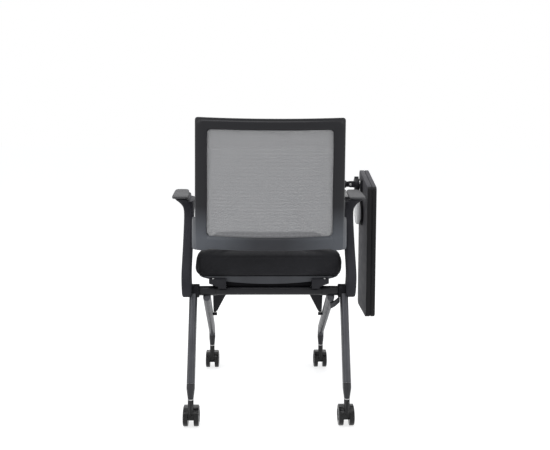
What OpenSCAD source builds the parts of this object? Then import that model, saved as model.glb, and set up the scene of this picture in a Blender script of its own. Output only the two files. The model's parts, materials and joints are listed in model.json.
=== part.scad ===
/* [Base] */
// Height of the hinge axis that carries the seat, the legs and the arms
pivot_h = 376; // [350:1:400]
// Distance of the hinge axis in front of the rear wheel axles
pivot_y = 80; // [70:1:90]
// Distance between the front and the rear wheel axles
wheelbase = 482; // [460:1:500]
// How far the middle of a rear leg lies inside the inner face of its arm
rear_leg_in = 4; // [3:0.5:8]
// How far the top of a front leg lies inside the middle of the rear leg
front_leg_in = 39.5; // [38:0.5:44]
// How far a front leg leans outwards from its top to its caster
front_splay = 8; // [4:0.5:12]
// Width of a rear leg across the chair
rear_leg_w = 22.4; // [20:0.2:23]
// Depth of a rear leg along the chair
rear_leg_d = 40; // [34:1:44]
// Width of a front leg at its top
front_leg_w = 21.6; // [20:0.2:22]
// Width of a front leg at its foot
front_foot_w = 21; // [17:0.5:22]
// Wall of the leg tubes
leg_wall = 2.2; // [1.8:0.1:3]
// Radius of the cross tube that the seat turns on
tube_r = 12.4; // [11:0.1:13]
// Wall of the sleeves at the ends of the cross tube
sleeve_wall = 1.8; // [1.4:0.1:2.6]
// How far the joint blocks stand out over the sleeves
block_step = 5.8; // [4.8:0.2:7]

/* [Casters] */
// Radius of a wheel
wheel_r = 29; // [26:0.5:31]
// Width over the two wheels of a caster
caster_w = 46; // [44:1:52]
// Distance from the swivel axis to the wheel axle
trail = 20; // [16:1:24]
// Radius of the swivel stem
stem_r = 5.5; // [5:0.1:6]
// Radius of the wheel axle
axle_r = 4; // [3.5:0.1:4.5]

/* [Seat] */
// Half the width of the seat cushion at its rear
seat_half = 219; // [214:0.5:220]
// How much the half width of the seat cushion narrows to its front
seat_taper = 23; // [16:1:30]
// How far the rear end of the seat cushion lies behind the hinge axis
seat_rear_back = 15; // [12:1:20]
// Depth of the seat cushion
seat_depth = 440; // [420:1:445]
// Height of the seam between the cushion and its shell over the hinge axis
seat_lift = 45; // [42:0.5:48]
// Thickness of the cushion at its edge
cushion_t = 61; // [50:1:64]
// Height of the crown over the edge
crown = 11; // [6:1:14]
// Depth of the seat shell under its rim
shell_t = 23; // [20:1:25]

/* [Arms] */
// Distance between the side of the seat cushion and an arm
arm_gap = 9; // [8:0.5:13]
// Thickness of an arm
arm_t = 26.5; // [22:0.5:30]
// Height of the top of the arm pads over the hinge axis
pad_rise = 280; // [264:1:294]
// Thickness of an arm pad
pad_t = 8; // [8:0.5:14]
// Rear end of an arm pad in front of the hinge axis
pad_ahead = 10; // [0:1:20]
// Length of an arm pad
pad_len = 236; // [220:1:238]
// Width of an arm pad
pad_w = 50; // [44:1:52]
// Distance from the inner face of an arm to the outer side of its pad at the rear
pad_reach_rear = 62; // [58:1:64]
// Distance from the inner face of an arm to the outer side of its pad at the front
pad_reach_front = 77; // [72:1:78]

/* [Back] */
// Height of the back from its lower edge to its top
back_h = 382; // [352:1:410]
// How far the lower edge of the back lies below the top of the arm pads
back_drop = 146; // [138:1:148]
// Distance between the side of the back and the inner face of an arm
back_gap = 19; // [17:1:26]
// Width of the uprights of the back frame
stile_w = 34; // [28:1:38]
// How much wider the back is at its lower edge than at its top, on each side
back_flare = 6; // [0:0.5:7]
// Height of the top rail
top_rail_w = 34; // [28:1:40]
// Height of the bottom rail
low_rail_w = 41; // [36:1:46]
// Thickness of the back frame
back_t = 20; // [16:1:20]
// Middle of the back frame's thickness at its top, behind the rear axles
back_top_y = -68; // [-76:1:-60]
// Middle of the back frame's thickness at its bottom, behind the rear axles
back_low_y = -35; // [-45:1:-33]
// How far the top of the back curves forward at its sides
top_sag = 29; // [20:1:34]
// How far the bottom of the back curves forward at its sides
low_sag = 54; // [44:1:54]
// Thickness of the mesh
mesh_t = 2.4; // [1.6:0.2:3]

/* [Tablet] */
// Length of the tablet along its rear edge
tablet_len = 422; // [400:1:430]
// Width of the tablet
tablet_w = 182; // [176:1:184]
// How much higher the front edge of the stored tablet reaches than its rear edge
tablet_rise = 46; // [36:1:48]
// Thickness of the tablet's underside panel
under_t = 13.6; // [10:0.2:14]
// Thickness of the core that shows as a groove
core_t = 1.6; // [1.2:0.2:2]
// Thickness of the tablet's writing panel
top_t = 14.8; // [10:0.2:16]
// Distance between the pad's outer side at its front and the stored tablet
tablet_gap = 11; // [10:0.5:16]
// How far the lower edge of the stored tablet lies below its pivot
tablet_drop = 418; // [404:1:422]
// How far the rear edge of the stored tablet lies behind its pivot
tablet_back = 148; // [144:1:152]
// Height of the tablet's pivot over the top of the arm pads
swing_rise = 12; // [9:0.5:14]
// Distance of the tablet's pivot in front of the pad
swing_ahead = 54; // [50:1:58]

/* [Hidden] */

// Clearances
run_fit = 0.06;    // a shaft that turns in its bore, on the radius
seat_fit = 0.3;    // pieces that lie on each other
over = 1;          // how far a cut reaches past the face that it opens

// Facets of round pieces and steps of smooth outlines
fine = 64;
corner_steps = 6;
spline_steps = 6;

// Places that follow from the width of the seat
arm_inner = seat_half + arm_gap;
rear_track = arm_inner - rear_leg_in;
front_track_top = rear_track - front_leg_in;
front_track_low = front_track_top + front_splay;
back_half = arm_inner - back_gap;
seat_front_half = seat_half - seat_taper;
pad_outer_rear = arm_inner + pad_reach_rear;
pad_outer_front = arm_inner + pad_reach_front;
tablet_inner = pad_outer_front + tablet_gap;

// Places that follow from the hinge axis
seat_rear_y = pivot_y - seat_rear_back;
pad_rear_y = pivot_y + pad_ahead;
swing_y = pad_rear_y + pad_len + swing_ahead;
tablet_rear_y = swing_y - tablet_back;
seat_base_h = pivot_h + seat_lift;
pad_h = pivot_h + pad_rise;
back_low_h = pad_h - back_drop;
back_top_h = back_low_h + back_h;
swing_h = pad_h + swing_rise;
tablet_low_h = swing_h - tablet_drop;

sleeve_r = tube_r + sleeve_wall;
block_r = sleeve_r + block_step;

// Base: the axles of the casters stand at a wheel's radius over the floor
stem_y_rear = -trail;
stem_y_front = wheelbase - trail;
plug_neck_r = 8.4;
plug_low_h = 89;
plug_lip = 3;
plug_shoulder = 14;
rear_foot_ahead = 7;
rear_foot_h = 130;
front_top_back = 5;
front_top_drop = 12;
front_knee_back = 2;
front_knee_h = 142;
front_foot_h = 126;
rear_foot = [rear_track, stem_y_rear + rear_foot_ahead, rear_foot_h];
front_top = [front_track_top, pivot_y - front_top_back, pivot_h - front_top_drop];
front_knee = [front_track_low, stem_y_front - front_knee_back, front_knee_h];
front_foot = [front_track_low, stem_y_front, front_foot_h];
front_bend_share = 0.95;
front_leg_d = 36;
front_foot_d = 27;
sleeve_end = 17.5;
sleeve_len = 48.5;
sleeve_out = rear_track - sleeve_end;
sleeve_in = sleeve_out - sleeve_len;
block_lap = 7.4;
block_out = arm_inner + block_lap;
tube_lap = 2;
tube_half = arm_inner + tube_lap;
leg_end = 34;      // length of a rear leg's closed end
arm_pocket_gap = 3;
arm_pocket_r = block_r + arm_pocket_gap;
bolt_r = 5;
bolt_head_r = 9;
bolt_head_t = 3.4;
stop_pin_r = 5;
stop_at_share = 0.5;
stop_pin_len = 13;
brace_t = 12;
brace_h = 16;
brace_sag = 3;
brace_ahead = 14;
brace_low_drop = 44;
brace_high_drop = 36;
brace_steps = 8;

// Casters
hood_gap = 2;
hood_r = wheel_r + hood_gap;
hood_t = 1.5;
web_t = 16;
hood_w = caster_w - 2 * hood_gap;
hood_clear = 6;
web_over = 3;
hub_r = 11;
stem_boss_r = 8.3;
stem_boss_top = 85;
collar_t = 2.4;
collar_over = 0.6;
stem_top = 112;
wheel_gap = 0.6;
wheel_round = 4;
stem_socket = 10;
wheel_bevel = 1;
dish_depth = 3;
hub_depth = 1.2;
axle_inset = 3;

// Seat
plan_steps = 64;
rear_power = 12;
front_power = 5.5;
taper_from = 75;
shell_inset = 7;
shell_rim = 2.4;
clamp_bearing = 23;
clamp_end = 8;
clamp_in = sleeve_in - clamp_end - clamp_bearing;
clamp_span = 50;
clamp_out = clamp_in + clamp_span;
clamp_wall = 1.8;
clamp_gap = 2.2;
clamp_hook = 3;
clamp_len = 44;
clamp_lap = 3;
clamp_foot_rise = 12;
seat_screw_in = 12;
seat_screw_gap = 4;
strut_t = 5;
strut_foot_w = 12;
strut_foot_back = 8;
strut_foot_ahead = 7;
strut_web_back = 1;
bumper_side = 2;
strut_in = 8.5;
strut_out = front_track_top - strut_in;
strut_span = 91;
strut_in_top = strut_out - strut_span;
strut_behind = 70;
strut_before = 36;
bumper_t = 6;
spacer_back = 2;
spacer_ahead = 12;
spacer_gap = 2;
front_drop = 9;
front_drop_len = 110;
screw_r = 3;
screw_head_r = 5.6;
screw_head_t = 2.2;

// Arms: outlines of the side view, as shares of the reach and rise over the hinge axis
arm_reach = 120;
arm_top_gap = 8;
arm_rise = pad_h - pad_t - pivot_h - arm_top_gap;
arm_side_shares = [[-0.40, 0.30], [-0.34, 0.47], [-0.08, 0.57], [0.24, 0.76], [0.42, 0.93], [0.50,
    1.00],
  [0.95, 1.00], [0.80, 0.86], [0.58, 0.70], [0.30, 0.50], [0.09, 0.30], [0.12, 0.16], [0.20, 0.02],
  [0.12, -0.055], [-0.10, -0.055], [-0.24, 0.03], [-0.37, 0.13]];
head_t = 9;
head_drop = 34;
head_inset = 3;
pad_front_in = 4;
pad_corner_r = 13;
pad_round = 5;
pad_bevel = 2;
pad_screw_shares = [0.25, 0.75];

// Back
loop_steps = 15;
outer_corner_r = 9;
inner_corner_r = 12;
wing_steps = 10;
wing_root_t = 19;
wing_end_t = 9;
wing_bow = 1.5;
wing_root_h = 98;
wing_end_h = 84;
mesh_cols = 16;
mesh_rows = 6;
low_bow = 7;       // how far the window's lower edge hangs down between its corners
bow_reach = 40;    // height over which the hanging fades out

// Tablet
tablet_corner_r = 14;
tablet_edge_inset = 3;
under_skin = 3;
plate_back = 12;
plate_below = 4;
disc_r = 22;
disc_t = 14;
disc_tab_w = 9;
disc_tab_h = 4;
hub_bar_r = 13.5;
shaft_r = 12.5;
shaft_pin_r = 8;
shaft_head = 4;
tilt_pin_r = 4;
tilt_in = 36;
tilt_x = tablet_inner - tilt_in;
tongue_t = 11;
cheek_t = 6;
cheek_r = 10;
tongue_inset = 1;
shaft_end = 2;
cap_r = 40;
cap_t = 19;
cap_back = 25;
cap_below = 93;
cap_ring_t = 7;
cap_ring_lip = 3;
bracket_w = 15;
bracket_start = 22;
bracket_drop = 2;
bracket_taper = 4;
bracket_step = 10;
hub_step = 10;
hub_len = 19.5;
hub_in = arm_inner + hub_step;
hub_out = hub_in + hub_len;
mount_plate_t = 7.6;
mount_plate_w = 62;
mount_plate_h = 40;

// Placing: the origin lies on the floor under the middle of the chair's box
pad_reach = max([for (p = rounded_outline(pad_corners(0), pad_corner_r)) p.x]);
back_reach = back_y(0, back_top_h - top_rail_w / 10) - back_t / 2;
centre_x = (tablet_inner + under_t + core_t + top_t - pad_reach) / 2;
centre_y = (wheelbase + wheel_r + back_reach) / 2;

function mix(a, b, t) = a + (b - a) * t;
function clamp01(t) = max(0, min(1, t));
function unit_of(v) = v / norm(v);

// Points of an arc that rounds the corner p between a and b
function arc_corner(a, p, b, r) =
  let (u = unit_of(a - p), v = unit_of(b - p), half = acos(u * v) / 2,
    centre = p + unit_of(u + v) * r / sin(half),
    start = p + u * r / tan(half) - centre, end = p + v * r / tan(half) - centre)
  [for (i = [0:corner_steps]) centre + unit_of(mix(start, end, i / corner_steps)) * r];

function rounded_outline(points, r) =
  let (n = len(points))
  [for (i = [0:n - 1]) each arc_corner(points[(i + n - 1) % n], points[i], points[(i + 1) % n], r)];

function spline_point(a, b, c, d, t) =
  (b * 2 + (c - a) * t + (a * 2 - b * 5 + c * 4 - d) * t * t + (b * 3 - a - c * 3 + d) * t * t * t) / 2;

function smooth_loop(points) =
  let (n = len(points))
  [for (i = [0:n - 1], k = [0:spline_steps - 1])
    spline_point(points[(i + n - 1) % n], points[i], points[(i + 1) % n], points[(i + 2) % n],
        k / spline_steps)];

// Faces that close a thin end strip by strip, between the first and the second half of its ring
function strip_end(n, base, up) = [for (i = [0:n / 2 - 2])
  let (a = base + i, b = base + i + 1, c = base + n - 2 - i, d = base + n - 1 - i)
  each up ? [[b, a, c], [c, a, d]] : [[a, b, c], [a, c, d]]];

// A solid through a row of rings with as many points each, counter-clockwise seen from the last ring
module skin(rings, looped = false, thin = false) {
  n = len(rings[0]);
  m = len(rings);
  last = looped ? m - 1 : m - 2;
  sides = [for (i = [0:last], j = [0:n - 1])
    let (a = i * n + j, b = i * n + (j + 1) % n, c = ((i + 1) % m) * n + (j + 1) % n,
        d = ((i + 1) % m) * n + j)
    each [[a, c, b], [a, d, c]]];
  ends = looped ? []
    : thin ? concat(strip_end(n, 0, false), strip_end(n, (m - 1) * n, true))
    : [[for (j = [0:n - 1]) j], [for (j = [n - 1:-1:0]) (m - 1) * n + j]];
  polyhedron(points = [for (r = rings) each r], faces = concat(sides, ends));
}

// Turns the Z axis to run from p to q, with X kept across the chair
module along(p, q) {
  z = unit_of(q - p);
  x = unit_of([1, 0, 0] - z * z.x);
  y = cross(z, x);
  multmatrix([[x.x, y.x, z.x, p.x], [x.y, y.y, z.y, p.y], [x.z, y.z, z.z, p.z], [0, 0, 0, 1]])
      children();
}

module on_side_exact(side) {
  if (side > 0) children();
  else mirror([1, 0, 0]) children();
}

module placed() { translate([-centre_x, -centre_y, 0]) children(); }

// A cylinder along X from x0 to x1, at the given place of the side view
module x_rod(r, x0, x1, y, z) {
  translate([x0, y, z]) rotate([0, 90, 0]) cylinder(r = r, h = x1 - x0, $fn = fine);
}

module y_rod(r, y0, y1, x, z) {
  translate([x, y0, z]) rotate([-90, 0, 0]) cylinder(r = r, h = y1 - y0, $fn = fine);
}

// A flat oval, as wide as w along X and as deep as d along Y
module oval(w, d) {
  square([w, d - w], center = true);
  for (s = [-1, 1]) translate([0, s * (d - w) / 2]) circle(r = w / 2, $fn = fine);
}

function oval_ring(w, d) =
  [for (i = [0:31]) let (a = (i + 0.5) * 360 / 32)
    [w / 2 * cos(a), w / 2 * sin(a) + sign(sin(a)) * (d - w) / 2]];

// Back: the middle of its thickness at a place of its front view
function back_t_of(z) = (z - back_low_h) / (back_top_h - back_low_h);
function back_y(x, z) =
  mix(back_low_y, back_top_y, back_t_of(z)) + mix(low_sag, top_sag, back_t_of(z)) * pow(x / back_half,
      2);

// A place of the front view, moved outward where the back widens towards its lower edge
function flared(p) = [p.x * (1 + back_flare / back_half * (1 - back_t_of(p.y))), p.y];

function back_outer() = rounded_outline([[-back_half, back_low_h], [back_half, back_low_h],
  [back_half, back_top_h], [-back_half, back_top_h]], outer_corner_r);
function back_inner() = rounded_outline([
  [-back_half + stile_w, back_low_h + low_rail_w], [back_half - stile_w, back_low_h + low_rail_w],
  [back_half - stile_w, back_top_h - top_rail_w], [-back_half + stile_w, back_top_h - top_rail_w]],
      inner_corner_r);

function with_steps(loop) =
  let (n = len(loop))
  [for (i = [0:n - 1])
    let (a = loop[i], b = loop[(i + 1) % n], long = (i % (corner_steps + 1)) == corner_steps)
    each [for (k = [0:(long ? loop_steps - 1 : 0)]) mix(a, b, k / loop_steps)]];

back_section_shares = [[0, -0.22], [0.10, -0.5], [0.50, -0.5], [0.90, -0.5], [1, -0.22],
  [1, 0.22], [0.90, 0.5], [0.50, 0.5], [0.10, 0.5], [0, 0.22]];

function window_drop(p) =
  low_bow * (1 - pow(p.x / (back_half - stile_w), 2))
  * clamp01(1 - (p.y - back_low_h - low_rail_w) / bow_reach);

module back_frame() {
  outer = [for (p = with_steps(back_outer())) flared(p)];
  inner = [for (p = with_steps(back_inner())) flared([p.x, p.y - window_drop(p)])];
  color("#38373c") skin([for (i = [0:len(outer) - 1])
    [for (s = back_section_shares) let (p = mix(inner[i], outer[i], s[0]))
      [p.x, back_y(p.x, p.y) + s[1] * back_t, p.y]]], looped = true);
}

// Rows of the mesh: height and half width, drawn in at the rounded corners of the window
function mesh_rows_at() =
  let (half = back_half - stile_w - seat_fit, r = inner_corner_r,
    low = back_low_h + low_rail_w + seat_fit, high = back_top_h - top_rail_w - seat_fit)
  concat([for (a = [0:30:90]) [low + r * (1 - cos(a)), half - r * (1 - sin(a))]],
    [for (k = [1:mesh_rows - 1]) [mix(low + r, high - r, k / mesh_rows), half]],
    [for (a = [90:-30:0]) [high - r * (1 - cos(a)), half - r * (1 - sin(a))]]);

module back_mesh() {
  color("#8f8f93") skin([for (row = mesh_rows_at())
    [for (side = [-1, 1], i = [0:mesh_cols])
      let (flat = -side * mix(-row[1], row[1], i / mesh_cols),
        z = row[0] - window_drop([flat, row[0]]),
        x = flared([flat, z]).x)
      [x, back_y(x, z) + side * mesh_t / 2, z]]], thin = true);
}

// The wing carries the back on the arm: it sweeps forward and outward from the side of the frame.
// It meets the arm along this line, as shares of the arm's rise and of its reach
arm_line_shares = [[0.30, -0.15], [0.50, 0.02], [0.57, 0.08], [0.87, 0.37], [1.0, 0.5]];

function wing_at(t, z) =
  let (side = flared([back_half, z]).x,
    start = [side + seat_fit, back_y(side, z)],
    end = [arm_inner - seat_fit - wing_end_t / 2,
      pivot_y + arm_reach * lookup((z - pivot_h) / arm_rise, arm_line_shares)],
    bow = [end.x - wing_bow, mix(start.y, end.y, 0.28)])
  mix(mix(start, bow, t), mix(bow, end, t), t);

function wing_ring(t) =
  let (half_t = mix(wing_root_t, wing_end_t, t) / 2,
    shares = [[0, 0.6], [0.06, 1], [0.5, 1], [0.94, 1], [1, 0.6], [1, -0.6], [0.94, -1], [0.5, -1],
        [0.06, -1], [0, -0.6]])
  [for (s = shares)
    let (z = back_low_h + s[0] * mix(wing_root_h, wing_end_h, t), p = wing_at(t, z),
        q = wing_at(t + 0.01, z),
        d = unit_of(q - p))
    [p.x - d.y * s[1] * half_t * min(1, 4 * t) , p.y + mix(1, d.x, min(1, 4 * t)) * s[1] * half_t, z]];

module back_wing(side) {
  color("#4a4c52") on_side_exact(side) skin([for (i = [0:wing_steps]) wing_ring(i / wing_steps)]);
}

// Arms
function pad_corners(inset) = [
  [pad_outer_rear - pad_w + inset, pad_rear_y + inset], [pad_outer_rear - inset, pad_rear_y + inset],
  [pad_outer_front - inset, pad_rear_y + pad_len - inset],
  [pad_outer_front - pad_w + pad_front_in + inset, pad_rear_y + pad_len - inset]];

module pad_plate(inset, z, t) {
  translate([0, 0, z]) linear_extrude(height = t) polygon(rounded_outline(pad_corners(inset),
      pad_corner_r));
}

module arm_side() {
  polygon([for (p = smooth_loop(arm_side_shares)) [pivot_y + p.x * arm_reach,
      pivot_h + p.y * arm_rise]]);
}

module arm(side) {
  head_top = pad_h - pad_t;
  color("#333236") on_side_exact(side) difference() {
    union() {
      translate([arm_inner, 0, 0]) multmatrix([[0, 0, 1, 0], [1, 0, 0, 0], [0, 1, 0, 0], [0, 0, 0, 1]])
        linear_extrude(height = arm_t) arm_side();
      hull() {
        pad_plate(head_inset, head_top - head_t, head_t);
        translate([arm_inner, pivot_y + arm_reach * 0.44, head_top - head_t - head_drop])
          cube([arm_t, arm_reach * 0.42, head_t]);
      }
      if (side > 0) translate([arm_inner, pad_rear_y + pad_len / 8, head_top - head_t])
        cube([arm_t, pad_len * 0.8, head_t]);
    }
    x_rod(arm_pocket_r, arm_inner - over, block_out + seat_fit, pivot_y, pivot_h);
    x_rod(bolt_r + run_fit, arm_inner - over, arm_inner + arm_t + over, pivot_y, pivot_h);
    for (s = pad_screw_shares) translate([pad_screw_x(s), pad_rear_y + pad_len * s,
        head_top - head_drop * 2])
      cylinder(r = screw_r, h = head_drop * 2 + over, $fn = fine);
  }
}

function pad_screw_x(share) = mix(pad_outer_rear, pad_outer_front, share) - pad_w / 2;

module arm_pad(side) {
  low = pad_h - pad_t;
  levels = [[low + seat_fit, pad_bevel], [low + pad_bevel, 0], [pad_h - pad_round, 0],
    [pad_h - pad_round * 0.28, pad_round * 0.32], [pad_h, pad_round]];
  color("#3b3a3e") on_side_exact(side) difference() {
    skin([for (l = levels) [for (p = rounded_outline(pad_corners(l[1]), pad_corner_r - l[1] / 2)) [p.x,
        p.y, l[0]]]]);
    for (s = pad_screw_shares) translate([pad_screw_x(s), pad_rear_y + pad_len * s, low - over])
      cylinder(r = screw_r, h = pad_t * 0.6 + over, $fn = fine);
  }
}

module pad_screws() {
  low = pad_h - pad_t;
  color("#8a8a8c") for (side = [-1, 1], s = pad_screw_shares) on_side_exact(side)
    translate([pad_screw_x(s), pad_rear_y + pad_len * s, low - head_drop * 0.55])
      cylinder(r = screw_r - run_fit, h = head_drop * 0.55 + pad_t * 0.5, $fn = fine);
}

// Base
module cross_tube() {
  color("#2f2e33") x_rod(tube_r, -tube_half, tube_half, pivot_y, pivot_h);
}

module sleeve(side) {
  color("#3a393e") on_side_exact(side) difference() {
    x_rod(sleeve_r, sleeve_in, sleeve_out, pivot_y, pivot_h);
    x_rod(tube_r + run_fit, sleeve_in - over, sleeve_out + over, pivot_y, pivot_h);
  }
}

module joint_block(side) {
  color("#242327") on_side_exact(side) difference() {
    x_rod(block_r, sleeve_out + seat_fit, block_out, pivot_y, pivot_h);
    x_rod(tube_r + run_fit, sleeve_out - over, tube_half + seat_fit, pivot_y, pivot_h);
    x_rod(bolt_r + run_fit, tube_half, block_out + over, pivot_y, pivot_h);
  }
}

module arm_bolts() {
  face = arm_inner + arm_t;
  color("#77777a") for (side = [-1, 1]) on_side_exact(side) {
    x_rod(bolt_r, tube_half + seat_fit, face + seat_fit, pivot_y, pivot_h);
    x_rod(bolt_head_r, face + seat_fit, face + seat_fit + bolt_head_t, pivot_y, pivot_h);
  }
}

module rear_leg(side) {
  top = [rear_track, pivot_y, pivot_h];
  run = norm(top - rear_foot);
  color("#6f7176") on_side_exact(side) difference() {
    along(rear_foot, top) difference() {
      linear_extrude(height = run) oval(rear_leg_w, rear_leg_d);
      translate([0, 0, -over]) linear_extrude(height = run - leg_end)
        oval(rear_leg_w - 2 * leg_wall, rear_leg_d - 2 * leg_wall);
    }
    x_rod(block_r + seat_fit, rear_track - rear_leg_w, rear_track + rear_leg_w, pivot_y, pivot_h);
    translate([rear_track - rear_leg_w, pivot_y - rear_leg_d * 2, pivot_h - sleeve_r / 4])
      cube([rear_leg_w * 2, rear_leg_d * 4, rear_leg_d * 2]);
  }
}

// The front leg runs straight down from its sleeve, then bends into the caster's socket
front_line = concat(
  [for (k = [0:4]) mix(front_top, front_knee, front_bend_share * k / 4)],
  [for (k = [1:6]) let (t = k / 6, start = mix(front_top, front_knee, front_bend_share))
    mix(mix(start, front_knee, t), mix(front_knee, front_foot, t), t)]);
front_last = len(front_line) - 1;

function front_dir(i) = unit_of(front_line[max(0, i - 1)] - front_line[min(front_last, i + 1)]);

function front_ring(i, wall, reach) =
  let (z = front_dir(i), x = unit_of([1, 0, 0] - z * z.x), y = cross(z, x), share = i / front_last,
    p = front_line[i] + z * (i == 0 ? reach : i == front_last ? -reach : 0),
    w = mix(front_leg_w, front_foot_w, share) - 2 * wall,
    d = mix(front_leg_d, front_foot_d, share) - 2 * wall)
  [for (o = oval_ring(w, d)) p + x * o.x + y * o.y];

module front_leg_solid(wall, reach, first = 0) {
  skin([for (i = [front_last:-1:first]) front_ring(i, wall, reach)]);
}

module front_leg(side) {
  color("#7c7e82") on_side_exact(side) difference() {
    front_leg_solid(0, 0);
    front_leg_solid(leg_wall, over, 1);
    x_rod(sleeve_r + seat_fit, front_track_top - front_leg_w, front_track_top + front_leg_w, pivot_y,
        pivot_h);
  }
}

module stem_bore(x, y) {
  translate([x, y, plug_low_h - over]) cylinder(r = stem_r + run_fit,
      h = stem_top - plug_low_h + over + seat_fit, $fn = fine);
}

module rear_leg_plugs() {
  top = [rear_track, pivot_y, pivot_h];
  color("#2a292d") for (side = [-1, 1]) on_side_exact(side) difference() {
    hull() {
      along(rear_foot, top) translate([0, 0, -seat_fit - plug_shoulder])
        linear_extrude(height = plug_shoulder) oval(rear_leg_w, rear_leg_d);
      translate([rear_track, stem_y_rear, plug_low_h]) cylinder(r = plug_neck_r, h = plug_lip,
          $fn = 32);
    }
    stem_bore(rear_track, stem_y_rear);
  }
}

module front_leg_plugs() {
  color("#2a292d") for (side = [-1, 1]) on_side_exact(side) difference() {
    hull() {
      along(front_foot, front_line[front_last - 1]) translate([0, 0, -seat_fit - plug_shoulder])
        linear_extrude(height = plug_shoulder) oval(front_foot_w, front_foot_d);
      translate([front_track_low, stem_y_front, plug_low_h])
          cylinder(r = plug_neck_r, h = plug_lip, $fn = 32);
    }
    stem_bore(front_track_low, stem_y_front);
  }
}

stop_at = mix(front_top, front_knee, stop_at_share);
stop_in = stop_at.x - front_leg_w / 2 - stop_pin_len;

module seat_stop_pins() {
  color("#8d8f92") for (side = [-1, 1]) on_side_exact(side) difference() {
    x_rod(stop_pin_r, stop_in, stop_at.x, stop_at.y, stop_at.z);
    front_leg_solid(0, 0);
  }
}

function brace_edge(x0, x1, z0, z1, h) = [for (i = [0:brace_steps])
  let (t = i / brace_steps) [mix(x0, x1, t), mix(z0, z1, t) + h - brace_sag * sin(180 * t)]];

module right_leg_brace() {
  z0 = front_top.z - brace_low_drop;
  z1 = pivot_h - brace_high_drop;
  outer = rear_track - rear_leg_w / 2 - seat_fit;
  inner = front_track_top;
  color("#55575c") difference() {
    translate([0, pivot_y + brace_ahead, 0]) rotate([90, 0, 0]) linear_extrude(height = brace_t)
      polygon(concat(brace_edge(inner, outer, z0, z1, 0),
        [for (i = [brace_steps:-1:0]) brace_edge(inner, outer, z0, z1, brace_h)[i]]));
    front_leg_solid(0, 0);
  }
}

// Casters
module caster_body(x, stem_y) {
  axle_y = stem_y + trail;
  color("#1f1f21") difference() {
    union() {
      x_rod(hub_r, x - web_t / 2, x + web_t / 2, axle_y, wheel_r);
      translate([x - web_t / 2, stem_y, wheel_r - hub_r * 0.5]) cube([web_t, trail, hub_r * 1.5]);
      translate([x - web_t / 2, stem_y - web_over, wheel_r])
          cube([web_t, trail + web_over, hood_r - hood_clear]);
      translate([x, axle_y, wheel_r]) rotate([90, 0, 90]) translate([0, 0, -hood_w / 2])
        rotate([0, 0, 30]) rotate_extrude(angle = 120, $fn = fine)
          translate([hood_r - hood_t, 0]) square([hood_t, hood_w]);
      translate([x, stem_y, wheel_r + hood_r / 2]) cylinder(r = stem_boss_r,
          h = stem_boss_top - wheel_r - hood_r / 2, $fn = fine);
    }
    x_rod(axle_r + run_fit, x - web_t, x + web_t, axle_y, wheel_r);
    for (s = [-1, 1]) translate([x + s * (web_t / 2 + wheel_gap + hood_w / 4), axle_y, wheel_r])
        rotate([0, 90, 0])
      cylinder(r = wheel_r + wheel_gap, h = hood_w / 2, center = true, $fn = fine);
    translate([x, stem_y, stem_boss_top - stem_socket])
        cylinder(r = stem_r + run_fit, h = stem_socket + over, $fn = fine);
  }
}

module caster_stem(x, stem_y) {
  color("#c9c9c6") translate([x, stem_y, 0]) {
    translate([0, 0, stem_boss_top - stem_socket + seat_fit])
        cylinder(r = stem_r, h = stem_top - stem_boss_top + stem_socket - seat_fit, $fn = fine);
    translate([0, 0, stem_boss_top + seat_fit]) cylinder(r = stem_boss_r + collar_over, h = collar_t,
        $fn = fine);
  }
}

module axle(x, stem_y) {
  color("#9a9a9c") x_rod(axle_r, x - caster_w / 2 + axle_inset, x + caster_w / 2 - axle_inset,
      stem_y + trail, wheel_r);
}

module wheels(x, stem_y) {
  inner = web_t / 2 + wheel_gap;
  w = caster_w / 2 - inner;
  color("#1a1a1b") translate([x, stem_y + trail, wheel_r]) for (s = [0, 180]) rotate([0, 90, 0])
      rotate([s, 0, 0])
    translate([0, 0, inner]) rotate_extrude($fn = fine) polygon(concat(
      [[axle_r + run_fit, 0], [wheel_r - wheel_bevel, 0], [wheel_r, wheel_bevel]],
      [for (i = [0:6]) let (a = i * 15) [wheel_r - wheel_round + wheel_round * cos(a),
          w - wheel_round + wheel_round * sin(a)]],
      [[wheel_r * 0.62, w], [wheel_r * 0.56, w - dish_depth], [hub_r * 0.8, w - dish_depth],
        [hub_r * 0.7, w - hub_depth], [axle_r + run_fit, w - hub_depth]]));
}

// Seat: the plan is a rounded rectangle that narrows towards the front
function seat_half_at(y) =
  mix(seat_half, seat_front_half, clamp01((y - seat_rear_y - taper_from) / (seat_depth - taper_from)));

function seat_point(a, inset) =
  let (c = cos(a), s = sin(a), power = s < 0 ? rear_power : front_power,
    y = seat_rear_y + seat_depth / 2 + (seat_depth / 2 - inset) * sign(s) * pow(abs(s), 2 / power),
    x = (seat_half_at(y) - inset) * sign(c) * pow(abs(c), 2 / power))
  [x, y];

function seat_plan(inset) = [for (i = [0:plan_steps - 1])
    seat_point((i + 0.5) * 360 / plan_steps, inset)];

// Height and inset of each ring of the cushion, as shares of its edge thickness and its crown
cushion_shares = [[0, 0.10], [0.10, 0.03], [0.28, 0], [0.50, 0], [0.68, 0.03], [0.83, 0.09], [0.93,
    0.18], [1, 0.32]];
crown_shares = [[0.25, 0.16], [0.55, 0.32], [0.80, 0.52], [0.95, 0.74], [1, 0.90]];

function front_droop(y, share) =
  front_drop * share * pow(max(0, (y - seat_rear_y - seat_depth + front_drop_len) / front_drop_len), 2);

module seat_cushion() {
  edge_rings = [for (s = cushion_shares) [seat_base_h + seat_fit + s[0] * cushion_t,
      s[1] * cushion_t * 0.6, s[0]]];
  crown_rings = [for (s = crown_shares)
    [seat_base_h + seat_fit + cushion_t + s[0] * crown,
        cushion_t * 0.19 + s[1] * (seat_front_half - cushion_t * 0.19), 1]];
  color("#26252a") skin([for (r = concat(edge_rings, crown_rings))
    [for (p = seat_plan(r[1])) [p.x, p.y, r[0] - front_droop(p.y, r[2])]]]);
}

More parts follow.
